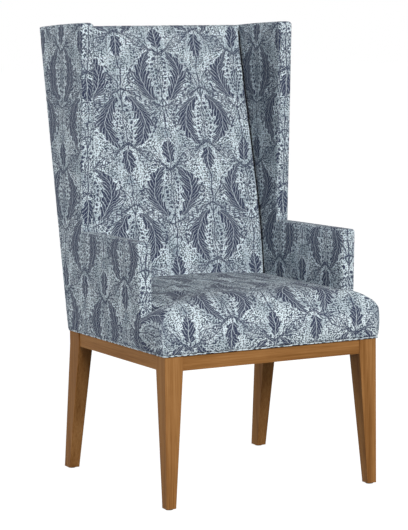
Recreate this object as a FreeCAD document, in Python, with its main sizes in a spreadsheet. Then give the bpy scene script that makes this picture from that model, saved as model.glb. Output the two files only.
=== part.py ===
import FreeCAD, Part
import math
import os
from types import SimpleNamespace

import Sketcher
from FreeCAD import Placement, Rotation, Vector

# Upholstered wing-back host armchair on a wooden base.
# Millimetres, Z up, the sitter faces -Y, and the origin is on the floor under the middle of the chair.
# Left and right are as seen from in front of the chair: left is -X.

SIZES = (
    # Overall envelope and the lines that the upholstery follows
    ("overall_width", 616, "across the front corners of the seat"),
    ("overall_depth", 696, "seat front to the top of the back"),
    ("overall_height", 1172, "floor to the front of the wing tops"),
    ("back_height", 1164, "floor to the top of the back"),
    ("arm_height", 640, "floor to the top of the arms"),
    ("arm_setback", 120, "seat front to the front of the arms"),
    ("wing_depth", 271, "back to front along the top of a wing"),
    ("wing_rake", 26, "how far the wing front leans forward"),
    ("seat_side_bulge", 3, "seat front corners beyond the arms"),
    ("corner_round", 8, "radius of the arm and wing front corners"),
    # Wooden base
    ("base_width", 598, "across the legs"),
    ("base_depth", 549, "over the legs at the aprons"),
    ("seat_overhang", 6, "seat front beyond the front legs"),
    ("apron_top", 374, "floor to the top of the aprons"),
    ("apron_height", 37, "height of an apron"),
    ("apron_thickness", 22, "thickness of an apron"),
    ("apron_reveal", 3, "aprons set back from the leg faces"),
    ("front_leg_head", 49, "front leg section at the aprons"),
    ("front_leg_foot", 26, "front leg section at the floor"),
    ("rear_leg_depth", 57, "rear leg at the aprons, front to back"),
    ("rear_leg_width", 39, "rear leg at the aprons, side to side"),
    ("rear_foot_depth", 33, "rear leg at the floor, front to back"),
    ("rear_foot_width", 28, "rear leg at the floor, side to side"),
    ("rear_leg_rake", 49, "rear foot behind the apron"),
    ("leg_edge_round", 1.5, "eased long edges of the legs"),
    ("glide_diameter", 20, "nail-on foot glide"),
    ("glide_height", 3, "nail-on foot glide"),
    ("glide_bevel", 1, "bevel at the floor edge of a glide"),
    ("nail_diameter", 2.6, "nail of a glide"),
    ("nail_length", 16, "nail of a glide"),
    ("dowel_diameter", 10, "apron joint dowel"),
    ("dowel_length", 44, "apron joint dowel"),
    ("dowel_spacing", 18, "between the two dowels of a joint"),
    ("joint_clearance", 0.1, "room round a dowel, nail or screw"),
    ("block_reach", 55, "corner block along an apron, past the leg"),
    ("block_height", 28, "corner block"),
    ("block_lift", 4, "corner block above the apron's lower edge"),
    ("dust_cover_thickness", 1, "cloth under the base"),
    # Screws
    ("screw_diameter", 4.6, "all wood screws"),
    ("screw_head_diameter", 9, "all wood screws"),
    ("screw_head_height", 3, "all wood screws"),
    ("corner_screw_length", 50, "corner block into leg"),
    ("corner_screw_grip", 17, "corner block wood under the screw head"),
    ("body_screw_length", 60, "apron into upholstered body"),
    ("body_screw_recess", 10, "depth of the head in the apron"),
    ("body_screw_spread", 300, "between the screws of one apron"),
    ("frame_screw_length", 50, "side frame into rail"),
    ("frame_screw_recess", 4, "depth of the head in the side frame"),
    ("frame_screw_pitch", 30, "between the two screws of a rail end"),
    # Frame inside the upholstery
    ("side_frame_thickness", 22, "plywood side frame"),
    ("seat_rail_thickness", 25, "front and rear seat rails"),
    ("seat_rail_height", 58, "front and rear seat rails"),
    ("back_rail_thickness", 22, "rails across the back"),
    ("back_rail_height", 62, "rails across the back"),
    ("lower_back_rail_rise", 452, "floor to the lower back rail"),
    ("middle_back_rail_rise", 760, "floor to the middle back rail"),
    ("top_back_rail_rise", 1090, "floor to the top back rail"),
    # Springs and webbing
    ("spring_count", 5, "sinuous seat springs"),
    ("spring_pitch", 100, "between the springs"),
    ("spring_width", 48, "over the loops of a spring"),
    ("spring_loop_pitch", 22, "between the bars of a spring, nearly"),
    ("spring_wire", 3.8, "wire diameter"),
    ("clip_length", 14, "spring clip along the wire"),
    ("clip_foot", 20, "spring clip along the chair"),
    ("clip_thickness", 1, "sheet of a spring clip"),
    ("deck_thickness", 1.5, "cloth over the springs"),
    ("strap_count", 3, "webbing straps in the back"),
    ("strap_pitch", 150, "between the straps"),
    ("strap_width", 60, "webbing strap"),
    ("strap_thickness", 1.5, "webbing strap"),
    ("strap_overlap", 50, "strap over the top and lower rails"),
    # Pads and covers
    ("cover_thickness", 1.5, "upholstery fabric with its lining"),
    ("outer_pad", 3.5, "pad on the outer face of a side frame"),
    ("inner_pad", 5.5, "pad on the inner face of a side frame"),
    ("edge_pad", 4, "pad round the edges of a side frame"),
    ("back_board_thickness", 3, "board behind the back"),
    ("welt_diameter", 4, "cord along the lower edge"),
    ("welt_corner", 6, "radius of the welt at the corners"),
    ("soft_clearance", 0.3, "between soft pieces and their neighbours"),
    ("seat_crown_height", 509, "floor to the middle of the seat"),
    ("seat_side_height", 493, "floor to the seat beside the arms"),
    ("seat_roll_height", 446, "floor to the start of the front roll"),
    ("seat_roll_depth", 150, "front roll, front to back"),
    ("seat_roll_width", 36, "side roll, side to side"),
    ("seat_corner_round", 14, "upright front corners of the seat"),
    ("seat_front_pad", 9, "foam ahead of the front seat rail"),
    ("seat_back_overlap", 8, "seat edge tucked under the back"),
    ("lumbar_height", 655, "floor to the fullest part of the back"),
    ("shoulder_height", 880, "floor to where the back grows slim"),
    ("back_foot_thickness", 45, "back at the seat"),
    ("lumbar_thickness", 70, "back at its fullest"),
    ("shoulder_thickness", 54, "back above the swell"),
    ("back_top_thickness", 52, "back at the top"),
    ("back_crown", 14, "middle of the back ahead of its sides"),
)

LEFT = -1
RIGHT = 1
UP = Vector(0, 0, 1)
# A point of a quarter round at 45 degrees, as a share of its run and rise.
QUARTER_MIDDLE = math.sqrt(0.5)


class Dim:
    """A length as a sheet expression, with the number that it stands for at present."""

    def __init__(self, text, value):
        self.text = text
        self.value = value

    def join(self, sign, other, value):
        return Dim(f"({self.text} {sign} {as_dim(other).text})", value)

    def __add__(self, other):
        return self.join("+", other, self.value + as_dim(other).value)

    def __sub__(self, other):
        return self.join("-", other, self.value - as_dim(other).value)

    def __mul__(self, other):
        return self.join("*", other, self.value * as_dim(other).value)

    def __truediv__(self, other):
        return self.join("/", other, self.value / as_dim(other).value)

    def __neg__(self):
        return Dim(f"(0 - {self.text})", -self.value)


def as_dim(term):
    """A plain number taken as a Dim, or the Dim itself."""
    if isinstance(term, Dim):
        return term
    return Dim(str(term), term)


def make_sheet(document):
    """Write the driving dimensions to the sheet and give each one as a Dim."""
    sheet = document.addObject("Spreadsheet::Sheet", "Sizes")
    for row, (alias, value, note) in enumerate(SIZES, 1):
        sheet.set(f"A{row}", note)
        sheet.set(f"B{row}", str(value))
        sheet.setAlias(f"B{row}", alias)
    document.recompute()
    return SimpleNamespace(**{alias: Dim(f"Sizes.{alias}", value) for alias, value, note in SIZES})


doc = FreeCAD.newDocument("host_armchair")
size = make_sheet(doc)
nodes = []

# Planes and lines that several pieces share
front_y = -size.overall_depth / 2
half_width = size.overall_width / 2
side_x = half_width - size.seat_side_bulge
base_x = size.base_width / 2
base_front = front_y + size.seat_overhang
base_rear = base_front + size.base_depth
apron_bottom = size.apron_top - size.apron_height
apron_middle = size.apron_top - size.apron_height / 2
apron_outer_x = base_x - size.apron_reveal
apron_middle_x = apron_outer_x - size.apron_thickness / 2
apron_inner_x = apron_outer_x - size.apron_thickness
front_apron_y = base_front + size.apron_reveal
rear_apron_y = base_rear - size.apron_reveal
back_slope = (size.overall_depth / 2 - base_rear) / (size.back_height - size.apron_top)
outside_back = size.cover_thickness + size.back_board_thickness
skirt = size.apron_top + size.welt_diameter
arm_front = front_y + size.arm_setback
wing_top_y = size.overall_depth / 2 - size.wing_depth
wing_foot_y = wing_top_y + size.wing_rake
frame_inset = size.cover_thickness + size.edge_pad
seat_rail_top = size.apron_top + size.seat_rail_height
seat_rail_front = front_y + size.cover_thickness + size.seat_front_pad
strap_back = outside_back + size.back_rail_thickness
strap_front = strap_back + size.strap_thickness
wire_height = seat_rail_top + size.clip_thickness + size.joint_clearance + size.spring_wire / 2
deck_bottom = wire_height + size.spring_wire / 2 + size.joint_clearance + size.clip_thickness
deck_top = deck_bottom + size.deck_thickness

# Layers of a side, as depths from its outer face
pad_depth = size.cover_thickness
frame_depth = pad_depth + size.outer_pad
inner_pad_depth = frame_depth + size.side_frame_thickness
inner_cover_depth = inner_pad_depth + size.inner_pad
side_thickness = inner_cover_depth + size.cover_thickness
inner_x = side_x - side_thickness
frame_outer_x = side_x - frame_depth
frame_inner_x = side_x - inner_pad_depth


def rear_y(height, inset):
    """The raked plane of the back at a height, moved forward by an inset."""
    return base_rear + (as_dim(height) - size.apron_top) * back_slope - inset


def mirrored(side, near, far):
    """A span of x between two distances from the middle, on the left or the right."""
    if side == RIGHT:
        return near, far
    return -far, -near


def keep(piece):
    """Count a piece among the nodes that are written out."""
    nodes.append(piece)
    return piece


def place(piece, x, y, z):
    for axis, dim in zip("xyz", (x, y, z)):
        piece.setExpression(f"Placement.Base.{axis}", as_dim(dim).text)


def block(label, x_span, y_span, z_span):
    """A rectangular block between pairs of planes."""
    box = doc.addObject("Part::Box", label)
    for name, (low, high) in zip(("Length", "Width", "Height"), (x_span, y_span, z_span)):
        box.setExpression(name, (high - low).text)
    place(box, x_span[0], y_span[0], z_span[0])
    return box


def rod(label, start, direction, length, diameter):
    """A round rod from a point, along a direction."""
    cylinder = doc.addObject("Part::Cylinder", label)
    cylinder.setExpression("Height", length.text)
    cylinder.setExpression("Radius", (diameter / 2).text)
    cylinder.Placement = Placement(Vector(), Rotation(UP, direction))
    place(cylinder, *start)
    return cylinder


def fused(label, pieces):
    """Several overlapping pieces as one solid, or several holes as one tool."""
    fuse = doc.addObject("Part::MultiFuse", label)
    fuse.Shapes = pieces
    return fuse


def grouped(label, pieces):
    """Identical separate solids under one name."""
    group = doc.addObject("Part::Compound", label)
    group.Links = pieces
    return group


def drilled(label, blank, holes):
    """A blank with its holes cut."""
    cut = doc.addObject("Part::Cut", label)
    cut.Base = blank
    cut.Tool = holes[0] if len(holes) == 1 else fused(label + "_holes", holes)
    return cut


def along(point, direction, distance):
    """A point moved along a unit direction."""
    steps = (direction.x, direction.y, direction.z)
    return tuple(as_dim(start) + as_dim(distance) * round(step, 9) for start, step in zip(point, steps))


def outline_sketch(body, name, role, outline):
    """A closed outline of straight lines on one of the body's own planes."""
    sketch = body.newObject("Sketcher::SketchObject", name)
    plane = next(feature for feature in body.Origin.OriginFeatures if feature.Role == role)
    sketch.AttachmentSupport = [(plane, "")]
    sketch.MapMode = "FlatFace"
    corners = [(as_dim(across), as_dim(up)) for across, up in outline]
    count = len(corners)
    for index, (across, up) in enumerate(corners):
        next_across, next_up = corners[(index + 1) % count]
        start = Vector(across.value, up.value, 0)
        end = Vector(next_across.value, next_up.value, 0)
        sketch.addGeometry(Part.LineSegment(start, end), False)
    for index in range(count):
        sketch.addConstraint(Sketcher.Constraint("Coincident", index, 2, (index + 1) % count, 1))
    for index, corner in enumerate(corners):
        for kind, dim in zip(("DistanceX", "DistanceY"), corner):
            number = sketch.addConstraint(Sketcher.Constraint(kind, -1, 1, index, 1, dim.value))
            sketch.setExpression(f"Constraints[{number}]", dim.text)
    return sketch


VIEWS = {"side": ("YZ_Plane", "x"), "plan": ("XY_Plane", "z")}


def slab(label, view, outline, span, rounds=()):
    """A flat piece: an outline in side view or plan, padded between two planes."""
    role, axis = VIEWS[view]
    low, high = span
    body = doc.addObject("PartDesign::Body", label)
    pad = body.newObject("PartDesign::Pad", label + "_pad")
    pad.Profile = outline_sketch(body, label + "_outline", role, outline)
    pad.setExpression("Length", (high - low).text)
    body.setExpression(f"Placement.Base.{axis}", low.text)
    base = pad
    for corner, radius in rounds:
        base = round_corner(body, base, outline[corner], radius)
    return body


def round_corner(body, base, corner, radius):
    """Round the edge of a side-view slab that stands on one corner of its outline."""
    doc.recompute()
    across, up = (as_dim(dim).value for dim in corner)
    names = []
    for number, edge in enumerate(base.Shape.Edges, 1):
        ends = [vertex.Point for vertex in edge.Vertexes]
        if all(math.hypot(end.y - across, end.z - up) < 1e-3 for end in ends):
            names.append(f"Edge{number}")
    fillet = body.newObject("PartDesign::Fillet", f"{body.Name}_round")
    fillet.Base = (base, names)
    fillet.setExpression("Radius", radius.text)
    return fillet


def feature(label, shape):
    """A piece whose shape is worked out from the sheet's values."""
    piece = doc.addObject("Part::Feature", label)
    piece.Shape = shape
    piece.Placement = Placement()
    return piece


def screw(label, seat, direction, length):
    """A wood screw whose head bears on a point."""
    shank = rod(label + "_shank", seat, direction, length, size.screw_diameter)
    head_start = along(seat, direction, -size.screw_head_height)
    head = rod(label + "_head", head_start, direction, size.screw_head_height, size.screw_head_diameter)
    return fused(label, [shank, head])


def screw_hole(label, seat, direction, length, recess):
    """The hole for such a screw, with a round recess behind its head."""
    clearance = size.joint_clearance
    bore_diameter = size.screw_diameter + clearance * 2
    bore = rod(label + "_bore", seat, direction, length + clearance, bore_diameter)
    recess_start = along(seat, direction, -recess)
    recess_diameter = size.screw_head_diameter + clearance * 2
    return [bore, rod(label + "_recess", recess_start, direction, recess, recess_diameter)]


# The base: where its four corners are
CORNERS = {
    "front_left": (LEFT, True),
    "front_right": (RIGHT, True),
    "rear_left": (LEFT, False),
    "rear_right": (RIGHT, False),
}


def corner_point(side, is_front, inward_x, inward_y):
    """A point by its distances from a corner of the base, towards the middle."""
    x = (base_x - inward_x) * side
    y = base_front + inward_y if is_front else base_rear - inward_y
    return x, y


def leg_head(is_front):
    """Section of a leg at the aprons: side to side, then front to back."""
    if is_front:
        return size.front_leg_head, size.front_leg_head
    return size.rear_leg_width, size.rear_leg_depth


def leg_foot(is_front):
    """Distances of a foot's faces from the base's corner: side to side, then front to back."""
    if is_front:
        return (as_dim(0), size.front_leg_foot), (as_dim(0), size.front_leg_foot)
    return (as_dim(0), size.rear_foot_width), (-size.rear_leg_rake, size.rear_foot_depth - size.rear_leg_rake)


def foot_centre(side, is_front):
    (near_x, far_x), (near_y, far_y) = leg_foot(is_front)
    return corner_point(side, is_front, (near_x + far_x) / 2, (near_y + far_y) / 2)


def leg_blank(label, side, is_front):
    """A leg before drilling: its side view padded to the head's width, then tapered on its inner face."""
    width, depth = leg_head(is_front)
    (_, far_foot_x), (near_foot_y, far_foot_y) = leg_foot(is_front)
    foot_height = size.glide_height
    profile = (
        (near_foot_y, foot_height),
        (as_dim(0), apron_bottom),
        (as_dim(0), size.apron_top),
        (depth, size.apron_top),
        (depth, apron_bottom),
        (far_foot_y, foot_height),
    )
    if is_front:
        profile = profile[0:1] + profile[2:]
    outline = [(corner_point(side, is_front, width, inward)[1], height) for inward, height in profile]
    body = slab(label, "side", outline, mirrored(side, base_x - width, base_x))
    blank = body.Tip

    taper = body.newObject("PartDesign::Pocket", label + "_taper")
    span_start = mirrored(side, base_x - width, base_x)[0]
    inner_face = (base_x - width) * side - span_start
    inner_foot = (base_x - far_foot_x) * side - span_start
    wedge = [(inner_face, apron_bottom), (inner_face, foot_height), (inner_foot, foot_height)]
    taper.Profile = outline_sketch(body, label + "_wedge", "XZ_Plane", wedge)
    taper.Type = "ThroughAll"
    taper.Midplane = True
    doc.recompute()
    if taper.Shape.Volume > blank.Shape.Volume - 1:
        raise RuntimeError(f"{label} has no taper")

    rounding = body.newObject("PartDesign::Fillet", label + "_edges")
    rounding.Base = (taper, outward_edges(taper.Shape, side, is_front))
    rounding.setExpression("Radius", size.leg_edge_round.text)
    return body


def outward_edges(shape, side, is_front):
    """The upright edges of the two faces of a leg that look out from the chair."""
    outward = (Vector(side, 0, 0), Vector(0, -1 if is_front else 1, 0))
    faces = [face for face in shape.Faces if max(face.normalAt(0, 0).dot(way) for way in outward) > 0.9]
    names = []
    for number, edge in enumerate(shape.Edges, 1):
        start, end = (vertex.Point for vertex in edge.Vertexes)
        is_upright = abs(start.z - end.z) > size.apron_height.value / 2
        if is_upright and any(edge.isSame(other) for face in faces for other in face.Edges):
            names.append(f"Edge{number}")
    return names


def dowel_places():
    """Every apron dowel: its leg, its apron, its middle point and its direction."""
    places = []
    for corner, (side, is_front) in CORNERS.items():
        width, depth = leg_head(is_front)
        inward_middle = size.apron_reveal + size.apron_thickness / 2
        cross_point = corner_point(side, is_front, width, inward_middle)
        side_point = corner_point(side, is_front, inward_middle, depth)
        cross_apron = "front_apron" if is_front else "rear_apron"
        side_apron = "left_apron" if side == LEFT else "right_apron"
        for level in (-1, 1):
            height = apron_middle + size.dowel_spacing / 2 * level
            places.append((corner, cross_apron, (*cross_point, height), Vector(1, 0, 0)))
            places.append((corner, side_apron, (*side_point, height), Vector(0, 1, 0)))
    return places


def dowel_hole(label, middle, direction):
    clearance = size.joint_clearance
    length = size.dowel_length + clearance * 2
    start = along(middle, direction, -(length / 2))
    return rod(label, start, direction, length, size.dowel_diameter + clearance * 2)


def corner_screw_place(side, is_front):
    """Head seat and direction of the screw from a corner block into its leg."""
    width, depth = leg_head(is_front)
    diagonal = QUARTER_MIDDLE
    x, y = corner_point(side, is_front, width, depth)
    direction = Vector(side * diagonal, -diagonal if is_front else diagonal, 0)
    height = apron_bottom + size.block_lift + size.block_height / 2
    return along((x, y, height), direction, -size.corner_screw_grip), direction


def body_screw_places():
    """Every screw from an apron up into the upholstered body: its apron, its head seat and member above."""
    height = apron_bottom + size.body_screw_recess
    half_spread = size.body_screw_spread / 2
    middle_y = (base_front + base_rear) / 2
    front_middle = front_apron_y + size.apron_thickness / 2
    rear_middle = rear_apron_y - size.apron_thickness / 2
    places = []
    for end in (-1, 1):
        places.append(("front_apron", "front_seat_rail", (half_spread * end, front_middle, height)))
        places.append(("rear_apron", "rear_seat_rail", (half_spread * end, rear_middle, height)))
        side_y = middle_y + half_spread * end
        places.append(("left_apron", "left_side_frame", (-apron_middle_x, side_y, height)))
        places.append(("right_apron", "right_side_frame", (apron_middle_x, side_y, height)))
    return places


RAIL_RISES = {
    "lower_back_rail": size.lower_back_rail_rise,
    "middle_back_rail": size.middle_back_rail_rise,
    "top_back_rail": size.top_back_rail_rise,
}
rear_rail_back = rear_y(size.apron_top, outside_back)
SEAT_RAIL_FRONTS = {
    "front_seat_rail": seat_rail_front,
    "rear_seat_rail": rear_rail_back - size.seat_rail_thickness,
}


def frame_screw_places():
    """Every screw from a side frame into a rail end: its side frame, rail, head seat and direction."""
    lines = []
    for rail, front in SEAT_RAIL_FRONTS.items():
        middle = size.apron_top + size.seat_rail_height / 2
        for level in (-1, 1):
            height = middle + size.frame_screw_pitch / 2 * level
            lines.append((rail, front + size.seat_rail_thickness / 2, height))
    for rail, rise in RAIL_RISES.items():
        middle = rise + size.back_rail_height / 2
        for level in (-1, 1):
            height = middle + size.frame_screw_pitch / 2 * level
            lines.append((rail, rear_y(height, outside_back + size.back_rail_thickness / 2), height))
    places = []
    for side, frame in ((LEFT, "left_side_frame"), (RIGHT, "right_side_frame")):
        for rail, y, height in lines:
            seat = ((frame_outer_x - size.frame_screw_recess) * side, y, height)
            places.append((frame, rail, seat, Vector(-side, 0, 0)))
    return places


# Holes that each wooden piece needs, gathered from the joints above
holes = {}


def add_holes(piece, tools):
    holes.setdefault(piece, []).extend(tools)


def make_joinery():
    """Dowels and screws, and the holes that they need."""
    dowels = []
    for number, (corner, apron, middle, direction) in enumerate(dowel_places(), 1):
        start = along(middle, direction, -(size.dowel_length / 2))
        dowels.append(rod(f"dowel_{number}", start, direction, size.dowel_length, size.dowel_diameter))
        for piece in (corner + "_leg", apron):
            add_holes(piece, [dowel_hole(f"{piece}_dowel_hole_{number}", middle, direction)])
    keep(grouped("apron_dowels", dowels))

    corner_screws = []
    for corner, (side, is_front) in CORNERS.items():
        seat, direction = corner_screw_place(side, is_front)
        corner_screws.append(screw(corner + "_screw", seat, direction, size.corner_screw_length))
        for piece in (corner + "_leg", corner + "_corner_block"):
            name = f"{piece}_screw_hole"
            add_holes(piece, screw_hole(name, seat, direction, size.corner_screw_length, size.block_reach))
    keep(grouped("corner_screws", corner_screws))

    body_screws = []
    for number, (apron, member, seat) in enumerate(body_screw_places(), 1):
        body_screws.append(screw(f"body_screw_{number}", seat, UP, size.body_screw_length))
        for piece in (apron, member):
            name = f"{piece}_body_hole_{number}"
            add_holes(piece, screw_hole(name, seat, UP, size.body_screw_length, size.body_screw_recess))
    keep(grouped("body_screws", body_screws))

    frame_screws = []
    for number, (frame, rail, seat, direction) in enumerate(frame_screw_places(), 1):
        frame_screws.append(screw(f"frame_screw_{number}", seat, direction, size.frame_screw_length))
        for piece in (frame, rail):
            name = f"{piece}_frame_hole_{number}"
            recess = size.frame_screw_recess
            add_holes(piece, screw_hole(name, seat, direction, size.frame_screw_length, recess))
    keep(grouped("frame_screws", frame_screws))


def make_glides():
    """Nail-on glides under the feet, each a bevelled disc with its nail."""
    glides = []
    for corner, (side, is_front) in CORNERS.items():
        x, y = foot_centre(side, is_front)
        bevel = doc.addObject("Part::Cone", corner + "_glide_bevel")
        bevel.setExpression("Radius1", (size.glide_diameter / 2 - size.glide_bevel).text)
        bevel.setExpression("Radius2", (size.glide_diameter / 2).text)
        bevel.setExpression("Height", size.glide_bevel.text)
        place(bevel, x, y, 0)
        disc_height = size.glide_height - size.glide_bevel
        disc = rod(corner + "_glide_disc", (x, y, size.glide_bevel), UP, disc_height, size.glide_diameter)
        nail_start = (x, y, size.glide_height / 2)
        nail_length = size.nail_length + size.glide_height / 2
        nail = rod(corner + "_glide_nail", nail_start, UP, nail_length, size.nail_diameter)
        glides.append(fused(corner + "_glide", [bevel, disc, nail]))
        clearance = size.joint_clearance
        hole_diameter = size.nail_diameter + clearance * 2
        hole = rod(corner + "_nail_hole", nail_start, UP, nail_length + clearance, hole_diameter)
        add_holes(corner + "_leg", [hole])
    keep(grouped("foot_glides", glides))


def make_base():
    """Legs, aprons, corner blocks and the dust cover."""
    for corner, (side, is_front) in CORNERS.items():
        label = corner + "_leg"
        keep(drilled(label, leg_blank(label + "_blank", side, is_front), holes[label]))

    height = (apron_bottom, size.apron_top)
    front_end = base_front + size.front_leg_head
    rear_end = base_rear - size.rear_leg_depth
    front_reach = base_x - size.front_leg_head
    rear_reach = base_x - size.rear_leg_width
    front_span = (front_apron_y, front_apron_y + size.apron_thickness)
    rear_span = (rear_apron_y - size.apron_thickness, rear_apron_y)
    blanks = {
        "front_apron": block("front_apron_blank", (-front_reach, front_reach), front_span, height),
        "rear_apron": block("rear_apron_blank", (-rear_reach, rear_reach), rear_span, height),
    }
    for side, label in ((LEFT, "left_apron"), (RIGHT, "right_apron")):
        width = mirrored(side, apron_inner_x, apron_outer_x)
        blanks[label] = block(label + "_blank", width, (front_end, rear_end), height)
    for label, blank in blanks.items():
        keep(drilled(label, blank, holes[label]))

    block_bottom = apron_bottom + size.block_lift
    block_span = (block_bottom, block_bottom + size.block_height)
    apron_depth = size.apron_reveal + size.apron_thickness
    for corner, (side, is_front) in CORNERS.items():
        label = corner + "_corner_block"
        width, depth = leg_head(is_front)
        distances = (
            (width, apron_depth),
            (width + size.block_reach, apron_depth),
            (apron_depth, depth + size.block_reach),
            (apron_depth, depth),
            (width, depth),
        )
        outline = [corner_point(side, is_front, *pair) for pair in distances]
        keep(drilled(label, slab(label + "_blank", "plan", outline, block_span), holes[label]))

    edge = apron_depth + size.soft_clearance
    outline = []
    for corner in ("front_left", "front_right", "rear_right", "rear_left"):
        side, is_front = CORNERS[corner]
        width, depth = leg_head(is_front)
        across = width + size.soft_clearance
        along_depth = depth + size.soft_clearance
        notch = [(edge, along_depth), (across, along_depth), (across, edge)]
        if corner in ("front_right", "rear_left"):
            notch.reverse()
        outline.extend(corner_point(side, is_front, *pair) for pair in notch)
    keep(slab("dust_cover", "plan", outline, (block_bottom - size.dust_cover_thickness, block_bottom)))


def wing_top(inset, rear_inset):
    """Height of the sloping wing top at a distance ahead of the back's plane, drawn in by an inset."""
    slope = (size.overall_height - size.back_height) / size.wing_depth
    return size.back_height - inset + slope * rear_inset


def side_outline(inset, bottom, rear_inset):
    """Outline of an arm and wing in one, drawn in from the finished edges, up to a raked rear edge."""
    back_top = wing_top(inset, rear_inset)
    return [
        (arm_front + inset, bottom),
        (arm_front + inset, size.arm_height - inset),
        (wing_foot_y + inset, size.arm_height - inset),
        (wing_top_y + inset, size.overall_height - inset),
        (rear_y(back_top, rear_inset), back_top),
        (rear_y(bottom, rear_inset), bottom),
    ]


def strip_outline(outer_inset, inner_inset, bottom):
    """A strip that runs up the arm front, along the arm, up the wing front and along the wing top."""
    outer = side_outline(outer_inset, bottom, outside_back)[:5]
    inner = side_outline(inner_inset, bottom, outside_back)[:5]
    return outer + inner[::-1]


def make_frame():
    """The plywood side frames and the rails between them."""
    toe = [
        (seat_rail_front, size.apron_top),
        (seat_rail_front, seat_rail_top),
        (arm_front + frame_inset, seat_rail_top),
    ]
    notch_top = skirt + size.soft_clearance
    upper = side_outline(frame_inset, notch_top, outside_back)[1:]
    notch_front = rear_y(notch_top, outside_back) - size.welt_corner
    welt_notch = [(notch_front, notch_top), (notch_front, size.apron_top)]
    round_radius = size.corner_round - frame_inset
    for side, label in ((LEFT, "left_side_frame"), (RIGHT, "right_side_frame")):
        span = mirrored(side, frame_inner_x, frame_outer_x)
        rounds = ((3, round_radius), (5, round_radius))
        blank = slab(label + "_blank", "side", toe + upper + welt_notch, span, rounds)
        keep(drilled(label, blank, holes[label]))

    across = (-frame_inner_x, frame_inner_x)
    for label, front in SEAT_RAIL_FRONTS.items():
        depth = (front, front + size.seat_rail_thickness)
        blank = block(label + "_blank", across, depth, (size.apron_top, seat_rail_top))
        keep(drilled(label, blank, holes[label]))
    for label, rise in RAIL_RISES.items():
        top = rise + size.back_rail_height
        outline = raked_outline(rise, top, outside_back, strap_back)
        keep(drilled(label, slab(label + "_blank", "side", outline, across), holes[label]))


def raked_outline(bottom, top, rear_inset, front_inset):
    """A flat piece that lies along the back, between two heights."""
    return [
        (rear_y(bottom, front_inset), bottom),
        (rear_y(bottom, rear_inset), bottom),
        (rear_y(top, rear_inset), top),
        (rear_y(top, front_inset), top),
    ]


def spring_shape(middle_x, first_y, last_y):
    """A sinuous spring: bars across the seat joined by half-round loops, in one flat wire."""
    wire_radius = size.spring_wire.value / 2
    loops = max(2, round((last_y - first_y) / size.spring_loop_pitch.value))
    loop_radius = (last_y - first_y) / loops / 2
    half_bar = size.spring_width.value / 2 - loop_radius - wire_radius
    height = wire_height.value
    edges = []
    for number in range(loops + 1):
        side = 1 if number % 2 == 0 else -1
        y = first_y + 2 * loop_radius * number
        start = Vector(middle_x - side * half_bar, y, height)
        end = Vector(middle_x + side * half_bar, y, height)
        edges.append(Part.LineSegment(start, end).toShape())
        if number < loops:
            outermost = Vector(end.x + side * loop_radius, y + loop_radius, height)
            after = Vector(end.x, y + 2 * loop_radius, height)
            edges.append(Part.Arc(end, outermost, after).toShape())
    path = Part.Wire(edges)
    start = path.Edges[0].Vertexes[0].Point
    section = Part.Wire(Part.Circle(start, Vector(1, 0, 0), wire_radius).toShape())
    return path.makePipeShell([section], True, False)


def make_suspension():
    """Seat springs in their clips, the deck cloth over them, and the straps in the back."""
    first_y = seat_rail_front + size.seat_rail_thickness / 2
    last_y = rear_rail_back - size.seat_rail_thickness / 2
    tube_bore = size.spring_wire + size.joint_clearance * 2
    tube_outer = tube_bore + size.clip_thickness * 2
    clips = []
    count = int(size.spring_count.value)
    for number in range(count):
        middle_x = size.spring_pitch * (number - (count - 1) / 2)
        shape = spring_shape(middle_x.value, first_y.value, last_y.value)
        keep(feature(f"seat_spring_{number + 1}", shape))
        across = (middle_x - size.clip_length / 2, middle_x + size.clip_length / 2)
        for end, y in (("front", first_y), ("rear", last_y)):
            name = f"{end}_clip_{number + 1}"
            depth = (y - size.clip_foot / 2, y + size.clip_foot / 2)
            foot = block(name + "_foot", across, depth, (seat_rail_top, seat_rail_top + size.clip_thickness))
            start = (across[0], y, wire_height)
            eye = rod(name + "_eye", start, Vector(1, 0, 0), size.clip_length, tube_outer)
            bore = rod(name + "_bore", start, Vector(1, 0, 0), size.clip_length, tube_bore)
            clips.append(drilled(name, fused(name + "_blank", [foot, eye]), [bore]))
    keep(grouped("spring_clips", clips))

    edge = inner_x - size.soft_clearance
    deck_depth = (seat_rail_front, rear_rail_back)
    keep(block("spring_deck", (-edge, edge), deck_depth, (deck_bottom, deck_top)))

    bottom = size.lower_back_rail_rise + size.back_rail_height - size.strap_overlap
    top = size.top_back_rail_rise + size.strap_overlap
    outline = raked_outline(bottom, top, strap_back, strap_front)
    count = int(size.strap_count.value)
    for number in range(count):
        middle_x = size.strap_pitch * (number - (count - 1) / 2)
        span = (middle_x - size.strap_width / 2, middle_x + size.strap_width / 2)
        keep(slab(f"back_strap_{number + 1}", "side", outline, span))


def arc_through(start, middle, end):
    return Part.Arc(start, middle, end).toShape()


def quarter_round(low, high):
    """An arc from an upright face at one point to a level face at another, in a side or front view."""
    run = high - low
    middle = Vector(low.x + run.x * (1 - QUARTER_MIDDLE), low.y + run.y * (1 - QUARTER_MIDDLE), 0)
    middle.z = low.z + run.z * QUARTER_MIDDLE
    return arc_through(low, middle, high)


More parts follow.
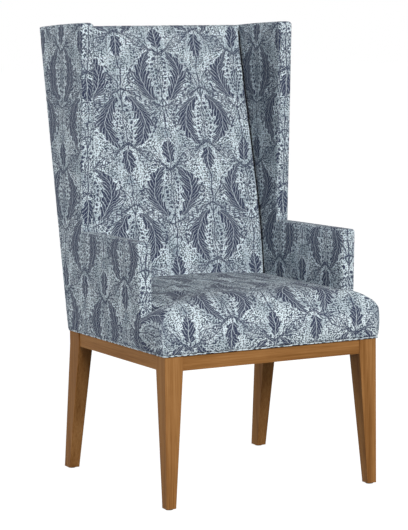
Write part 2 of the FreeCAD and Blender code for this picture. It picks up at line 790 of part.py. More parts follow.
def seat_across(inset, bottom, rear):
    """The seat seen from in front: side rolls and a crown, as long as the seat is deep."""
    half = half_width.value - inset
    start_y = front_y.value - size.seat_roll_depth.value
    shoulder = half - size.seat_roll_width.value
    roll = size.seat_roll_height.value - inset
    side_top = size.seat_side_height.value - inset
    crown = Vector(0, start_y, size.seat_crown_height.value - inset)
    left_foot, right_foot = Vector(-half, start_y, bottom), Vector(half, start_y, bottom)
    left_roll, right_roll = Vector(-half, start_y, roll), Vector(half, start_y, roll)
    left_top, right_top = Vector(-shoulder, start_y, side_top), Vector(shoulder, start_y, side_top)
    edges = [
        Part.LineSegment(left_foot, right_foot).toShape(),
        Part.LineSegment(right_foot, right_roll).toShape(),
        quarter_round(right_roll, right_top),
        arc_through(right_top, crown, left_top),
        quarter_round(left_roll, left_top),
        Part.LineSegment(left_roll, left_foot).toShape(),
    ]
    face = Part.Face(Part.Wire(Part.__sortEdges__(edges)))
    return face.extrude(Vector(0, rear - start_y, 0))


def seat_lengthwise(inset, bottom, rear):
    """The seat seen from the side: a level top and a long roll down to the front."""
    half = size.overall_width.value
    front = front_y.value + inset
    top = size.seat_crown_height.value - inset
    roll = size.seat_roll_height.value - inset
    roll_end = front + size.seat_roll_depth.value
    low, high = Vector(-half, front, roll), Vector(-half, roll_end, top)
    edges = [
        Part.LineSegment(Vector(-half, rear, bottom), Vector(-half, front, bottom)).toShape(),
        Part.LineSegment(Vector(-half, front, bottom), low).toShape(),
        quarter_round(low, high),
        Part.LineSegment(high, Vector(-half, rear, top)).toShape(),
        Part.LineSegment(Vector(-half, rear, top), Vector(-half, rear, bottom)).toShape(),
    ]
    return Part.Face(Part.Wire(edges)).extrude(Vector(2 * half, 0, 0))


def seat_plan(inset, bottom, rear):
    """The seat seen from above: a T whose front reaches round ahead of the arms."""
    gap = size.soft_clearance.value + inset
    wide, narrow = half_width.value - inset, inner_x.value - gap
    front, ears = front_y.value + inset, arm_front.value - gap
    half = [(wide, front), (wide, ears), (narrow, ears), (narrow, rear)]
    outline = half + [(-x, y) for x, y in reversed(half)]
    points = [Vector(x, y, bottom) for x, y in outline]
    face = Part.Face(Part.makePolygon(points + points[:1]))
    prism = face.extrude(Vector(0, 0, size.seat_crown_height.value - bottom))
    corners = [edge for edge in prism.Edges if stands_at(edge, wide, front)]
    return prism.makeFillet(size.seat_corner_round.value - inset, corners)


def stands_at(edge, half, y):
    """Whether an edge stands upright at one of two mirrored points of the plan."""
    ends = [vertex.Point for vertex in edge.Vertexes]
    return all(abs(abs(end.x) - half) < 1e-3 and abs(end.y - y) < 1e-3 for end in ends)


def seat_block(inset, bottom, rear):
    """The T-shaped seat, crowned and rolled over at its front and sides."""
    shape = seat_plan(inset, bottom, rear)
    shape = shape.common(seat_lengthwise(inset, bottom, rear))
    return shape.common(seat_across(inset, bottom, rear)).removeSplitter()


def back_block(inset, growth, is_tool):
    """The padded back: slim at the seat and the top, full at the lumbar height, and crowned across."""
    half = inner_x.value - size.soft_clearance.value - inset + growth
    behind = strap_front.value + size.soft_clearance.value
    bottom = deck_top.value + size.soft_clearance.value
    if is_tool:
        behind = strap_back.value
        bottom = deck_top.value - size.soft_clearance.value
    sections = (
        (bottom, size.back_foot_thickness.value),
        (size.lumbar_height.value, size.lumbar_thickness.value),
        (size.shoulder_height.value, size.shoulder_thickness.value),
        (size.back_height.value - inset, size.back_top_thickness.value),
    )
    wires = []
    for height, thickness in sections:
        rear = rear_y(height, behind).value
        front = rear_y(height, thickness).value + inset - growth
        rear_left, rear_right = Vector(-half, rear, height), Vector(half, rear, height)
        front_left, front_right = Vector(-half, front, height), Vector(half, front, height)
        crown = Vector(0, front - size.back_crown.value, height)
        edges = [
            Part.LineSegment(rear_left, rear_right).toShape(),
            Part.LineSegment(rear_right, front_right).toShape(),
            arc_through(front_right, crown, front_left),
            Part.LineSegment(front_left, rear_left).toShape(),
        ]
        wires.append(Part.Wire(edges))
    return Part.makeLoft(wires, True, False)


def make_back():
    """Back foam, the cover drawn over it and over the top rail, and the panel behind."""
    cover = size.cover_thickness.value
    clearance = size.soft_clearance.value
    keep(feature("back_foam", back_block(cover + clearance, 0, False)))
    shell = back_block(0, 0, False).cut(back_block(cover, 0, True))
    top = size.back_height
    flap_outline = raked_outline(top - size.cover_thickness, top, outside_back, strap_front + size.cover_thickness)
    points = [Vector(0, y.value, z.value) for y, z in flap_outline]
    half = (side_x - inner_cover_depth).value - clearance
    flap = Part.Face(Part.makePolygon(points + points[:1])).extrude(Vector(half * 2, 0, 0))
    flap.translate(Vector(-half, 0, 0))
    keep(feature("inside_back_cover", shell.fuse(flap).removeSplitter()))

    across = (-side_x, side_x)
    board = raked_outline(skirt, top, size.cover_thickness, outside_back)
    keep(slab("outside_back_board", "side", board, across))
    panel = raked_outline(skirt, top, as_dim(0), size.cover_thickness)
    keep(slab("outside_back_cover", "side", panel, across))


def make_seat():
    """Seat foam over the springs and round the front rail, and the cover drawn over it."""
    cover = size.cover_thickness.value
    clearance = size.soft_clearance.value
    bottom = skirt.value
    rear = rear_y(deck_top, size.back_foot_thickness - size.seat_back_overlap).value
    well_half = frame_outer_x.value + clearance
    well_front = seat_rail_front.value - clearance
    well_size = (2 * well_half, rear - well_front, deck_top.value - bottom)
    well = Part.makeBox(*well_size, Vector(-well_half, well_front, bottom))
    back = back_block(0, clearance, True)
    foam = seat_block(cover + clearance, bottom, rear).cut(well).cut(back)
    keep(feature("seat_foam", foam))
    hollow = seat_block(cover, bottom, rear)
    shell = seat_block(0, bottom, rear).cut(hollow).cut(well).cut(back)
    keep(feature("seat_cover", shell))


def side_panels(bottom, rear_inset):
    """The arm panel and the wing panel of one face of a side, which meet in a seam at the arm's height."""
    arm_front_edge, arm_top_corner, wing_foot, wing_corner, wing_end, arm_end = side_outline(
        as_dim(0), bottom, rear_inset
    )
    seam_end = (rear_y(size.arm_height, rear_inset), size.arm_height)
    arm = [arm_front_edge, arm_top_corner, seam_end, arm_end]
    wing = [wing_foot, wing_corner, wing_end, seam_end]
    return arm, wing


def make_side_upholstery():
    """Pads on the side frames, the arm and wing covers, and the border bands round their edges."""
    cover = size.cover_thickness
    inside_bottom = seat_rail_top + size.soft_clearance
    inside_rear = strap_front + cover + size.soft_clearance
    outside_arm, outside_wing = side_panels(skirt, outside_back)
    inside_arm, inside_wing = side_panels(inside_bottom, inside_rear)
    outer_pad = side_outline(cover, skirt, outside_back)
    inner_pad = side_outline(cover, inside_bottom, inside_rear)
    band = strip_outline(as_dim(0), cover, inside_bottom)
    padding = strip_outline(cover, frame_inset, inside_bottom)
    outer_round = size.corner_round
    cover_round = outer_round - cover
    frame_round = outer_round - frame_inset
    pad_rounds = ((1, cover_round), (3, cover_round))
    band_rounds = ((1, outer_round), (3, outer_round), (6, cover_round), (8, cover_round))
    padding_rounds = ((1, cover_round), (3, cover_round), (6, frame_round), (8, frame_round))
    panel_rounds = ((1, outer_round),)
    pieces = (
        ("outside_arm_cover", outside_arm, as_dim(0), pad_depth, panel_rounds),
        ("outside_wing_cover", outside_wing, as_dim(0), pad_depth, panel_rounds),
        ("outer_pad", outer_pad, pad_depth, frame_depth, pad_rounds),
        ("edge_pad", padding, frame_depth, inner_pad_depth, padding_rounds),
        ("inner_pad", inner_pad, inner_pad_depth, inner_cover_depth, pad_rounds),
        ("border_band", band, pad_depth, inner_cover_depth, band_rounds),
        ("inside_arm_cover", inside_arm, inner_cover_depth, side_thickness, panel_rounds),
        ("inside_wing_cover", inside_wing, inner_cover_depth, side_thickness, panel_rounds),
    )
    for side, name in ((LEFT, "left"), (RIGHT, "right")):
        for piece, outline, near_depth, far_depth, rounds in pieces:
            span = mirrored(side, side_x - far_depth, side_x - near_depth)
            keep(slab(f"{name}_{piece}", "side", outline, span, rounds))


def make_welt():
    """The cord that runs round the lower edge of the upholstery, just above the wood."""
    radius = size.welt_diameter.value / 2
    corner = size.welt_corner.value
    height = size.apron_top.value + radius
    half = side_x.value - radius
    front, rear = front_y.value + radius, rear_y(skirt, radius).value
    inset = corner * (1 - QUARTER_MIDDLE)
    turns = ((half, front, -1, 1), (half, rear, -1, -1), (-half, rear, 1, -1), (-half, front, 1, 1))
    arcs = []
    for number, (x, y, inward_x, inward_y) in enumerate(turns):
        on_x = Vector(x + inward_x * corner, y, height)
        on_y = Vector(x, y + inward_y * corner, height)
        middle = Vector(x + inward_x * inset, y + inward_y * inset, height)
        start, end = (on_x, on_y) if number % 2 == 0 else (on_y, on_x)
        arcs.append((start, middle, end))
    edges = []
    for number, (start, middle, end) in enumerate(arcs):
        next_start = arcs[(number + 1) % len(arcs)][0]
        edges.append(arc_through(start, middle, end))
        edges.append(Part.LineSegment(end, next_start).toShape())
    path = Part.Wire(edges[-1:] + edges[:-1])
    first = edges[-1].Vertexes[0].Point
    section = Part.Wire(Part.Circle(first, Vector(1, 0, 0), radius).toShape())
    keep(feature("base_welt", path.makePipeShell([section], True, False)))


def check_document():
    """Stop if any object failed, or any piece has no sound solid."""
    doc.recompute()
    for item in doc.Objects:
        if "Invalid" in item.State or "Error" in item.State:
            raise RuntimeError(f"{item.Label} failed: {item.State}")
    for piece in nodes:
        shape = piece.Shape
        if shape.isNull() or not shape.isValid() or not shape.Solids:
            raise RuntimeError(f"{piece.Label} has no sound solid")


def write_parts():
    os.makedirs("parts", exist_ok=True)
    for piece in nodes:
        piece.Shape.exportStep(f"parts/{piece.Label}.step")
        print(f"{piece.Label}: {len(piece.Shape.Solids)} solid(s), {piece.Shape.Volume / 1000:.1f} cm3")


make_joinery()
make_glides()
make_base()
make_frame()
make_suspension()
make_back()
make_seat()
make_side_upholstery()
make_welt()
check_document()
write_parts()
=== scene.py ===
# %% [markdown]
# # A wing-back host armchair: its looks
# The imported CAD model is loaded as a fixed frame. The wooden base stays as it is and only gets a
# finish. Every soft piece is made again here, in metres and in the same frame, as the cut and sewn
# panel that it is on a real chair, and then stands for its plain CAD solid.

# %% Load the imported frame
import math

import bmesh
import bpy
import numpy as np
from mathutils import Matrix, Vector, noise


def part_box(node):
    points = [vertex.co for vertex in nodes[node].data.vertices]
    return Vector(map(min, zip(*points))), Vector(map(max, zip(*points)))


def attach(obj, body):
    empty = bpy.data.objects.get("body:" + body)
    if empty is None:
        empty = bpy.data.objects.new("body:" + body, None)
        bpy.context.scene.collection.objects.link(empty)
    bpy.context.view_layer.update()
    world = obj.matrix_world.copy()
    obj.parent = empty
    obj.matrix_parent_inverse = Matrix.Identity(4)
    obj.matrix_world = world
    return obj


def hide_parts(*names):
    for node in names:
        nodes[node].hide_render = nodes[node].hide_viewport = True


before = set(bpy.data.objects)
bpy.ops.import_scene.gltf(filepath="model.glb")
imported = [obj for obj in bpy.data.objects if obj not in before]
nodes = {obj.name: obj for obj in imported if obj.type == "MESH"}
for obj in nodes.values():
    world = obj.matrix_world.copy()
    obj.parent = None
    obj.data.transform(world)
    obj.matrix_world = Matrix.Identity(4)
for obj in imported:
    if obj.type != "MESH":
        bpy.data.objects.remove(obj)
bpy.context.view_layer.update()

scene = bpy.context.scene

# %% [markdown]
# ## Lines taken from the CAD model
# An upholsterer measures the bare frame before cutting any cloth. The same is done here: the planes
# that the panels meet are read from the boxes and corners of the CAD nodes, so a new pack moves the
# looks with it.


# %% Measure the frame
def low(node):
    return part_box(node)[0]


def high(node):
    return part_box(node)[1]


def depth_at(node, height):
    """Front and rear y of a node's corners at a height."""
    depths = [v.co.y for v in nodes[node].data.vertices if abs(v.co.z - height) < 0.0005]
    return min(depths), max(depths)


side_x = high("right_outside_arm_cover").x
inner_x = low("right_inside_arm_cover").x
arm_front = low("left_outside_arm_cover").y
arm_height = high("left_outside_arm_cover").z
skirt = low("left_outside_arm_cover").z
wing_front = low("left_outside_wing_cover").y
wing_top = high("left_outside_wing_cover").z
wing_foot = depth_at("left_outside_wing_cover", arm_height)[0]
back_top = high("outside_back_cover").z
rear_top = high("outside_back_cover").y
rear_foot = depth_at("outside_back_cover", skirt)[1]
rear_slope = (rear_top - rear_foot) / (back_top - skirt)
rear_rake = math.atan(rear_slope)
inside_foot = low("left_inside_arm_cover").z


def rear_y(height):
    """The raked plane of the outside back."""
    return rear_foot + (height - skirt) * rear_slope


print(f"arm {arm_height:.3f} m, wing {wing_top:.3f} m and back {back_top:.3f} m high")
print(f"the back leans by {math.degrees(rear_rake):.1f} degrees")

# %% [markdown]
# ## Camera
# The photograph was matched by fitting a pinhole camera to the base, the arms and the wings. The long
# lens keeps the perspective mild, as in a catalogue picture.

# %% Camera
CAMERA_PLACE = (-2.4832, -4.6471, 1.1374)
CAMERA_ANGLES = (28.04, 6.41, -0.66)
CAMERA_LENS = 139.0
yaw, pitch, roll = (math.radians(angle) for angle in CAMERA_ANGLES)
forward = Vector((math.sin(yaw) * math.cos(pitch), math.cos(yaw) * math.cos(pitch), -math.sin(pitch)))
level = Vector((math.cos(yaw), -math.sin(yaw), 0))
upright = level.cross(forward)
view_right = math.cos(roll) * level + math.sin(roll) * upright
view_up = math.cos(roll) * upright - math.sin(roll) * level
view_turn = Matrix((view_right, view_up, -forward)).transposed().to_4x4()
lens = bpy.data.cameras.new("camera")
lens.lens = CAMERA_LENS
camera = bpy.data.objects.new("camera", lens)
camera.matrix_world = Matrix.Translation(CAMERA_PLACE) @ view_turn
scene.collection.objects.link(camera)
scene.camera = camera

# %% [markdown]
# ## Shader arithmetic
# The print on the cloth is drawn by formulas, and formulas in Math nodes soon get hard to read. A Field
# wraps a socket, so that plus, minus and times in the script lay down the Math nodes.


# %% Fields
class Field:
    """A number that the shader works out at each point of a surface."""

    def __init__(self, tree, socket):
        self.tree = tree
        self.socket = socket

    def math(self, operation, *others, clamp=False):
        node = self.tree.nodes.new("ShaderNodeMath")
        node.operation = operation
        node.use_clamp = clamp
        for slot, term in zip(node.inputs, (self, *others)):
            if isinstance(term, Field):
                self.tree.links.new(term.socket, slot)
            else:
                slot.default_value = term
        return Field(self.tree, node.outputs[0])

    def __add__(self, other):
        return self.math("ADD", other)

    def __sub__(self, other):
        return self.math("SUBTRACT", other)

    def __mul__(self, other):
        return self.math("MULTIPLY", other)

    def __abs__(self):
        return self.math("ABSOLUTE")

    def most(self, other):
        return self.math("MAXIMUM", other)

    def wrapped(self, period):
        """The distance from the nearest whole number of periods, with its sign."""
        return self.math("WRAP", period / 2, -period / 2)

    def inside(self, soft):
        """1 where the field is above zero and 0 where it is below, over a soft edge."""
        return self.math("MULTIPLY_ADD", 1 / soft, 0.5, clamp=True)


def length(across, along):
    return (across * across + along * along).math("SQRT")


print("fields add Math nodes by plain arithmetic")


# %% Node helpers
def new_material(name):
    """An empty node material with its tree and its output."""
    material = bpy.data.materials.new(name)
    material.use_nodes = True
    tree = material.node_tree
    tree.nodes.clear()
    return material, tree, tree.nodes.new("ShaderNodeOutputMaterial")


def add_node(tree, kind, values=(), **settings):
    """A shader node with its settings and input values."""
    node = tree.nodes.new(kind)
    for key, setting in settings.items():
        setattr(node, key, setting)
    for key, value in dict(values).items():
        node.inputs[key].default_value = value
    return node


def linear(red, green, blue):
    """A colour from its 0 to 255 values on a screen, as the shader's linear light."""
    shares = [value / 255 for value in (red, green, blue)]
    return tuple(s / 12.92 if s <= 0.04045 else ((s + 0.055) / 1.055) ** 2.4 for s in shares) + (1,)


print(f"middle grey on a screen is {linear(128, 128, 128)[0]:.3f} in linear light")

# %% [markdown]
# ## Studio
# A pale floor, a dim even surround and two large soft lamps. The front lamp stands high before the
# chair and gives the shape, and the left lamp lifts the chair's left side. Camera rays see a white
# surround, while the light that reaches the chair stays at a plain level.


# %% Lamps
def soft_lamp(name, place, aim, width, power, colour):
    lamp = bpy.data.lights.new(name, "AREA")
    lamp.shape = "DISK"
    lamp.size = width
    lamp.energy = power
    lamp.color = colour
    stand = bpy.data.objects.new(name, lamp)
    turn = (Vector(aim) - Vector(place)).to_track_quat("-Z", "Y").to_matrix().to_4x4()
    stand.matrix_world = Matrix.Translation(place) @ turn
    scene.collection.objects.link(stand)
    print(f"{name}: {width} m across, {power} W")


soft_lamp("front lamp", (-0.6, -7.6, 3.6), (0, -0.1, 0.7), 3.2, 522, (0.985, 0.99, 0.98))
soft_lamp("left lamp", (-3.8, 0.45, 1.3), (0, 0.1, 0.85), 1.6, 48, (0.98, 0.99, 1.0))


# %% Surround
def seen_white(tree):
    """A factor that is 1 for rays that show the background: straight, in gloss or through glass."""
    path = tree.nodes.new("ShaderNodeLightPath")
    rays = ("Is Camera Ray", "Is Glossy Ray", "Is Transmission Ray")
    straight, in_gloss, through_glass = (Field(tree, path.outputs[ray]) for ray in rays)
    return straight.most(in_gloss).most(through_glass)


world = bpy.data.worlds.new("surround")
world.use_nodes = True
scene.world = world
tree = world.node_tree
tree.nodes.clear()
light = add_node(tree, "ShaderNodeBackground", {"Color": (0.94, 0.965, 1.0, 1), "Strength": 0.26})
white = add_node(tree, "ShaderNodeBackground", {"Color": (1, 1, 1, 1), "Strength": 1.0})
mix = tree.nodes.new("ShaderNodeMixShader")
out = tree.nodes.new("ShaderNodeOutputWorld")
tree.links.new(seen_white(tree).socket, mix.inputs[0])
tree.links.new(light.outputs[0], mix.inputs[1])
tree.links.new(white.outputs[0], mix.inputs[2])
tree.links.new(mix.outputs[0], out.inputs["Surface"])
scene.view_settings.view_transform = "Standard"
print(f"surround: light of {light.inputs['Strength'].default_value:.2f} on the chair, white in the picture")

# %% Floor
FLOOR_REACH = 60
floor_material, tree, out = new_material("studio_floor")
matt = add_node(tree, "ShaderNodeBsdfDiffuse", {"Color": (0.28, 0.28, 0.28, 1)})
glow = add_node(tree, "ShaderNodeEmission", {"Color": (1, 1, 1, 1)})
tree.links.new((seen_white(tree) * 0.94).socket, glow.inputs["Strength"])
both = tree.nodes.new("ShaderNodeAddShader")
tree.links.new(matt.outputs[0], both.inputs[0])
tree.links.new(glow.outputs[0], both.inputs[1])
tree.links.new(both.outputs[0], out.inputs["Surface"])
floor_mesh = bpy.data.meshes.new("floor")
floor_corners = [(x * FLOOR_REACH, y * FLOOR_REACH, 0) for x, y in ((-1, -1), (1, -1), (1, 1), (-1, 1))]
floor_mesh.from_pydata(floor_corners, [], [(0, 1, 2, 3)])
floor_mesh.materials.append(floor_material)
floor = bpy.data.objects.new("floor", floor_mesh)
scene.collection.objects.link(floor)
print(f"floor {2 * FLOOR_REACH} m across")

# %% [markdown]
# ## Print of the cloth
# The covers are a woven cloth with a print in slate blue, grey blue and ice blue. The motif here is a
# plain foliate damask: two lobed leaves spread from a stem, with sprigs between them, beads along their
# backs and scrolls beside them, on a ground of fine speckle. The motif is symmetric, so it is drawn
# once for the distance from its axis, with a rosette at the half repeat. A second set of motifs, moved
# by half a repeat both ways and turned upside down, gives the half-drop layout. All sizes in the print
# are millimetres of cloth.


# %% Leaves, beads and rosettes
def leaf(across, along, start, lean, span, width, bow, lobe, vein):
    """A leaf from a start point: depth inside its edge, veins, way along it and way beyond its edge."""
    turn, rise = math.sin(math.radians(lean)), math.cos(math.radians(lean))
    from_x, from_y = across - start[0], along - start[1]
    run = from_x * turn + from_y * rise
    off = from_x * rise - from_y * turn
    share = run.math("MULTIPLY", 1 / span, clamp=True)
    fullness = share * (share * -1 + 1) * 4
    off = abs(off - fullness * bow)
    half = fullness.math("POWER", 0.6) * width
    ripple = abs((run - off * 0.6).wrapped(lobe)) * (2 / lobe)
    inner = half * (ripple * -0.55 + 1.2) - off
    streak = abs((run - off * 1.5).wrapped(vein)) * -1 + off * 0.055 + 0.3
    midrib = off * -1 + 0.8
    return inner, streak.most(midrib), run, off - half


def beads(beyond, run, middle, reach, gap, size, pitch):
    """A row of dots that follows the edge of a leaf."""
    ends = (abs(run - middle) * -1 + reach).inside(3)
    row = (length(beyond - gap, run.wrapped(pitch)) * -1 + size).inside(1.4) * ends
    band = (abs(beyond - gap) * -1 + size + 2.2).inside(1.6) * ends
    return row, band


def rosette(across, along, place, radius, petals):
    """A flower from above: its face, its dark rim and marks, and its mid-toned ring."""
    from_x, from_y = across - place[0], along - place[1]
    way = length(from_x, from_y)
    wave = (from_y.math("ARCTAN2", from_x) * petals).math("COSINE")
    edge = wave * (radius * 0.13) + radius * 0.9
    face = (edge - way).inside(1.6)
    rim = (abs(edge - way - radius * 0.16) * -1 + 1.3).inside(1.4)
    eye = (way * -1 + radius * 0.2).inside(1.4)
    marks = (wave * -1 - 0.3).inside(0.6) * (abs(way - radius * 0.62) * -1 + radius * 0.13).inside(1.4)
    ring = (abs(way - radius * 0.36) * -1 + radius * 0.07).inside(1.4)
    return face, rim.most(eye).most(marks), ring


print("the print is drawn with leaves, beads and rosettes")

# %% Motif of the print
REPEAT_ACROSS = 236
REPEAT_ALONG = 312


def palmette(across, along):
    """One motif of the print: its dark, mid and pale shares, and the pale veins on the dark."""
    side = abs(across)
    inner, streaks, run, beyond = leaf(side, along, (15, -84), 4, 136, 26, 36, 21, 12)
    dark = inner.inside(1.2)
    ribs = streaks.inside(1.1) * (inner - 0.6).inside(1.5)
    pale = (abs(inner + 4) * -1 + 3).inside(2)
    row, band = beads(beyond, run, 70, 56, 11, 3.7, 11.2)
    dark, pale = dark.most(row), pale.most(band)

    bud, bud_streaks, _, _ = leaf(side, along, (0, 58), 0, 62, 18, 0, 18, 12.5)
    dark = dark.most(bud.inside(1.2))
    ribs = ribs.most(bud_streaks.inside(1.1) * (bud - 0.6).inside(1.5))
    pale = pale.most((abs(bud + 4) * -1 + 3).inside(2))
    for shape in (
        ((28, -92), 66, 78, 17, -15, 15, 10.5),
        ((30, 62), 58, 72, 16, 13, 15, 10.0),
        ((9, -98), 158, 52, 14, 9, 14, 10.0),
    ):
        inner, streaks, _, _ = leaf(side, along, *shape)
        pale = pale.most(inner.inside(1.5))
        outline = (abs(inner) * -1 + 1.5).inside(1.2)
        dark = dark.most(outline).most((streaks + 0.5).inside(1.2) * (inner - 2).inside(1.5))

    for height, span, width in ((-52, 46, 9), (-8, 52, 11)):
        sprig, sprig_streaks, _, _ = leaf(side, along, (0, height), 0, span, width, 0, 13, 9)
        outline = (abs(sprig) * -1 + 1.4).inside(1.2)
        dark = dark.most(outline).most((sprig_streaks + 0.4).inside(1.2) * sprig.inside(1.5))
        pale = pale.most(sprig.inside(1.5))
    face, marks, mid = rosette(side, along, (REPEAT_ACROSS / 2, 20), 17, 7)
    pale, dark = pale.most(face), dark.most(marks)

    scroll_x, scroll_y = side - 84, along + 16
    scroll_way = length(scroll_x, scroll_y)
    scroll_turn = scroll_y.math("ARCTAN2", scroll_x)
    scroll = (scroll_way * -1 + 17).inside(2)
    curl = abs((scroll_way - scroll_turn * (9.5 / math.tau)).wrapped(9.5)) * -1 + 1.7
    dark, pale = dark.most(curl.inside(1.5) * scroll), pale.most(scroll)
    return dark, mid, pale, ribs


def motif_group():
    """The motif as a node group, so that the half-drop layout can use it twice."""
    group = bpy.data.node_groups.new("palmette motif", "ShaderNodeTree")
    for name in ("Across", "Along"):
        group.interface.new_socket(name, in_out="INPUT", socket_type="NodeSocketFloat")
    names = ("Dark", "Mid", "Pale", "Ribs")
    for name in names:
        group.interface.new_socket(name, in_out="OUTPUT", socket_type="NodeSocketFloat")
    start, end = group.nodes.new("NodeGroupInput"), group.nodes.new("NodeGroupOutput")
    fields = palmette(*(Field(group, socket) for socket in start.outputs[:2]))
    for name, field in zip(names, fields):
        group.links.new(field.socket, end.inputs[name])
    return group


motif = motif_group()
print(f"the motif has {len(motif.nodes)} nodes and repeats every {REPEAT_ACROSS} x {REPEAT_ALONG} mm")

# %% [markdown]
# ## Cloth material
# The print is laid over a speckled ground. Noise of about 4 mm makes its stipple, Voronoi cells of
# about 5 mm make its specks, and large soft clouds shade it. Slow noise bends the drawing of the motif
# a little, so that it looks drawn by hand. The weave gives a fine bump, and a little sheen gives the
# soft bloom that cotton has at a glancing angle.


# %% Colour, noise and surface helpers
def mix_colour(tree, share, under, over):
    """One colour over another by a share."""
    node = add_node(tree, "ShaderNodeMix", data_type="RGBA")
    for slot, term in ((0, share), (6, under), (7, over)):
        if isinstance(term, tuple):
            node.inputs[slot].default_value = term
        else:
            tree.links.new(term.socket if isinstance(term, Field) else term, node.inputs[slot])
    return node.outputs[2]


def factor(node):
    """The plain value of a noise texture."""
    return Field(node.id_data, node.outputs["Fac"])


def plane_noise(tree, point, scale, detail):
    """A noise texture over the flat cloth."""
    node = add_node(tree, "ShaderNodeTexNoise", {"Scale": scale, "Detail": detail}, noise_dimensions="2D")
    tree.links.new(point, node.inputs["Vector"])
    return node


def finish_surface(tree, out, colour, relief, values):
    """A surface with a colour, plain values, and a bump by its height, strength and distance."""
    height, strength, distance = relief
    bump = add_node(tree, "ShaderNodeBump", {"Strength": strength, "Distance": distance})
    tree.links.new(height.socket, bump.inputs["Height"])
    surface = add_node(tree, "ShaderNodeBsdfPrincipled", values)
    tree.links.new(colour, surface.inputs["Base Color"])
    tree.links.new(bump.outputs[0], surface.inputs["Normal"])
    tree.links.new(surface.outputs[0], out.inputs["Surface"])
    return surface


print("helpers: mixed colours, noise on the flat cloth, surfaces with a bump")

# %% Printed cloth
SLATE = linear(45, 53, 82)
SLATE_GREY = linear(48, 64, 82)
GREY_BLUE = linear(130, 148, 162)
ICE_BLUE = linear(229, 241, 247)
WARP_PITCH, WEFT_PITCH = 1.1, 1.3


def moved(tree, point, scale, amount):
    """A point in the cloth, moved about by noise."""
    wander = plane_noise(tree, point, scale, 1.0)
    shift = add_node(tree, "ShaderNodeVectorMath", {1: (0.5, 0.5, 0.5)}, operation="SUBTRACT")
    tree.links.new(wander.outputs["Color"], shift.inputs[0])
    bent = add_node(tree, "ShaderNodeVectorMath", {1: (amount, amount, amount)}, operation="MULTIPLY_ADD")
    tree.links.new(shift.outputs[0], bent.inputs[0])
    tree.links.new(point, bent.inputs[2])
    return bent.outputs[0]


def split_point(tree, point):
    """A point's way across the cloth and along it."""
    parts = tree.nodes.new("ShaderNodeSeparateXYZ")
    tree.links.new(point, parts.inputs[0])
    return Field(tree, parts.outputs[0]), Field(tree, parts.outputs[1])


def print_shares(tree, point):
    """How much of each tone the print has at a point of the cloth."""
    drawn = moved(tree, moved(tree, point, 0.02, 16), 0.11, 5)
    across, along = split_point(tree, drawn)
    shares = {}
    for drop in (0, 0.5):
        use = tree.nodes.new("ShaderNodeGroup")
        use.node_tree = motif
        tree.links.new((across + REPEAT_ACROSS * drop).wrapped(REPEAT_ACROSS).socket, use.inputs[0])
        upward = (along + REPEAT_ALONG * drop).wrapped(REPEAT_ALONG)
        tree.links.new((upward * (-1 if drop else 1)).socket, use.inputs[1])
        for socket in use.outputs:
            share = Field(tree, socket)
            shares[socket.name] = shares[socket.name].most(share) if drop else share
    return shares


def printed_cloth():
    material, tree, out = new_material("printed_cloth")
    uv = add_node(tree, "ShaderNodeUVMap", uv_map="UVMap")
    scaled = add_node(tree, "ShaderNodeVectorMath", {1: (1000, 1000, 1000)}, operation="MULTIPLY")
    tree.links.new(uv.outputs[0], scaled.inputs[0])
    point = scaled.outputs[0]
    shares = print_shares(tree, point)

    spread = {"Scale": 0.185, "Randomness": 0.75}
    specks = add_node(tree, "ShaderNodeTexVoronoi", spread, voronoi_dimensions="2D", feature="F1")
    tree.links.new(point, specks.inputs["Vector"])
    cloud = factor(plane_noise(tree, point, 0.018, 2.0))
    stipple = factor(plane_noise(tree, point, 0.27, 0.6))
    grains = (stipple - 0.37 - cloud * 0.06 + shares["Pale"] * 0.08).inside(0.02)
    from_speck = Field(tree, specks.outputs["Distance"])
    dots = (from_speck * -1 + 0.385 - cloud * 0.1 - shares["Pale"] * 0.12).inside(0.02)
    ground = mix_colour(tree, (cloud - 0.52).inside(0.2) * 0.45, ICE_BLUE, GREY_BLUE)
    ground = mix_colour(tree, grains * -0.94 + 0.94, ground, SLATE_GREY)
    ground = mix_colour(tree, dots * 0.96, ground, SLATE_GREY)
    ground = mix_colour(tree, shares["Mid"], ground, GREY_BLUE)
    ground = mix_colour(tree, shares["Dark"] * (dots * 0.1 + 0.9), ground, SLATE)
    ground = mix_colour(tree, shares["Ribs"] * 0.74, ground, ICE_BLUE)

    across, along = split_point(tree, point)
    warp = (across * (math.tau / WARP_PITCH)).math("SINE")
    weft = (along * (math.tau / WEFT_PITCH)).math("SINE")
    slubs = factor(plane_noise(tree, point, 0.9, 2.0))
    threads = warp * weft * 0.25 + slubs
    shade = threads * 0.22 + 0.86
    tint = add_node(tree, "ShaderNodeVectorMath", operation="SCALE")
    tree.links.new(ground, tint.inputs[0])
    tree.links.new(shade.socket, tint.inputs["Scale"])

    values = {"Roughness": 0.88, "Specular IOR Level": 0.12, "Sheen Weight": 0.06, "Sheen Roughness": 0.45}
    finish_surface(tree, out, tint.outputs[0], (threads, 0.35, 0.0004), values)
    return material


cloth_material = printed_cloth()
print(f"printed cloth: {len(cloth_material.node_tree.nodes)} nodes")

# %% [markdown]
# ## Wood of the base
# Legs and aprons are solid wood in a honey stain under a satin lacquer. The grain runs along each
# piece, so one recipe is turned three ways: up the legs, across the front and rear aprons, and along
# the side aprons.


# %% Show wood
def stretched(axis, along, across):
    """Texture scales that draw a pattern out along one axis."""
    return tuple(along if name == axis else across for name in "XYZ")


def grain_noise(tree, coordinates, scale, detail):
    spread = add_node(tree, "ShaderNodeMapping", {"Scale": scale})
    tree.links.new(coordinates, spread.inputs["Vector"])
    texture = add_node(tree, "ShaderNodeTexNoise", {"Scale": 1.0, "Detail": detail})
    tree.links.new(spread.outputs[0], texture.inputs["Vector"])
    return factor(texture)


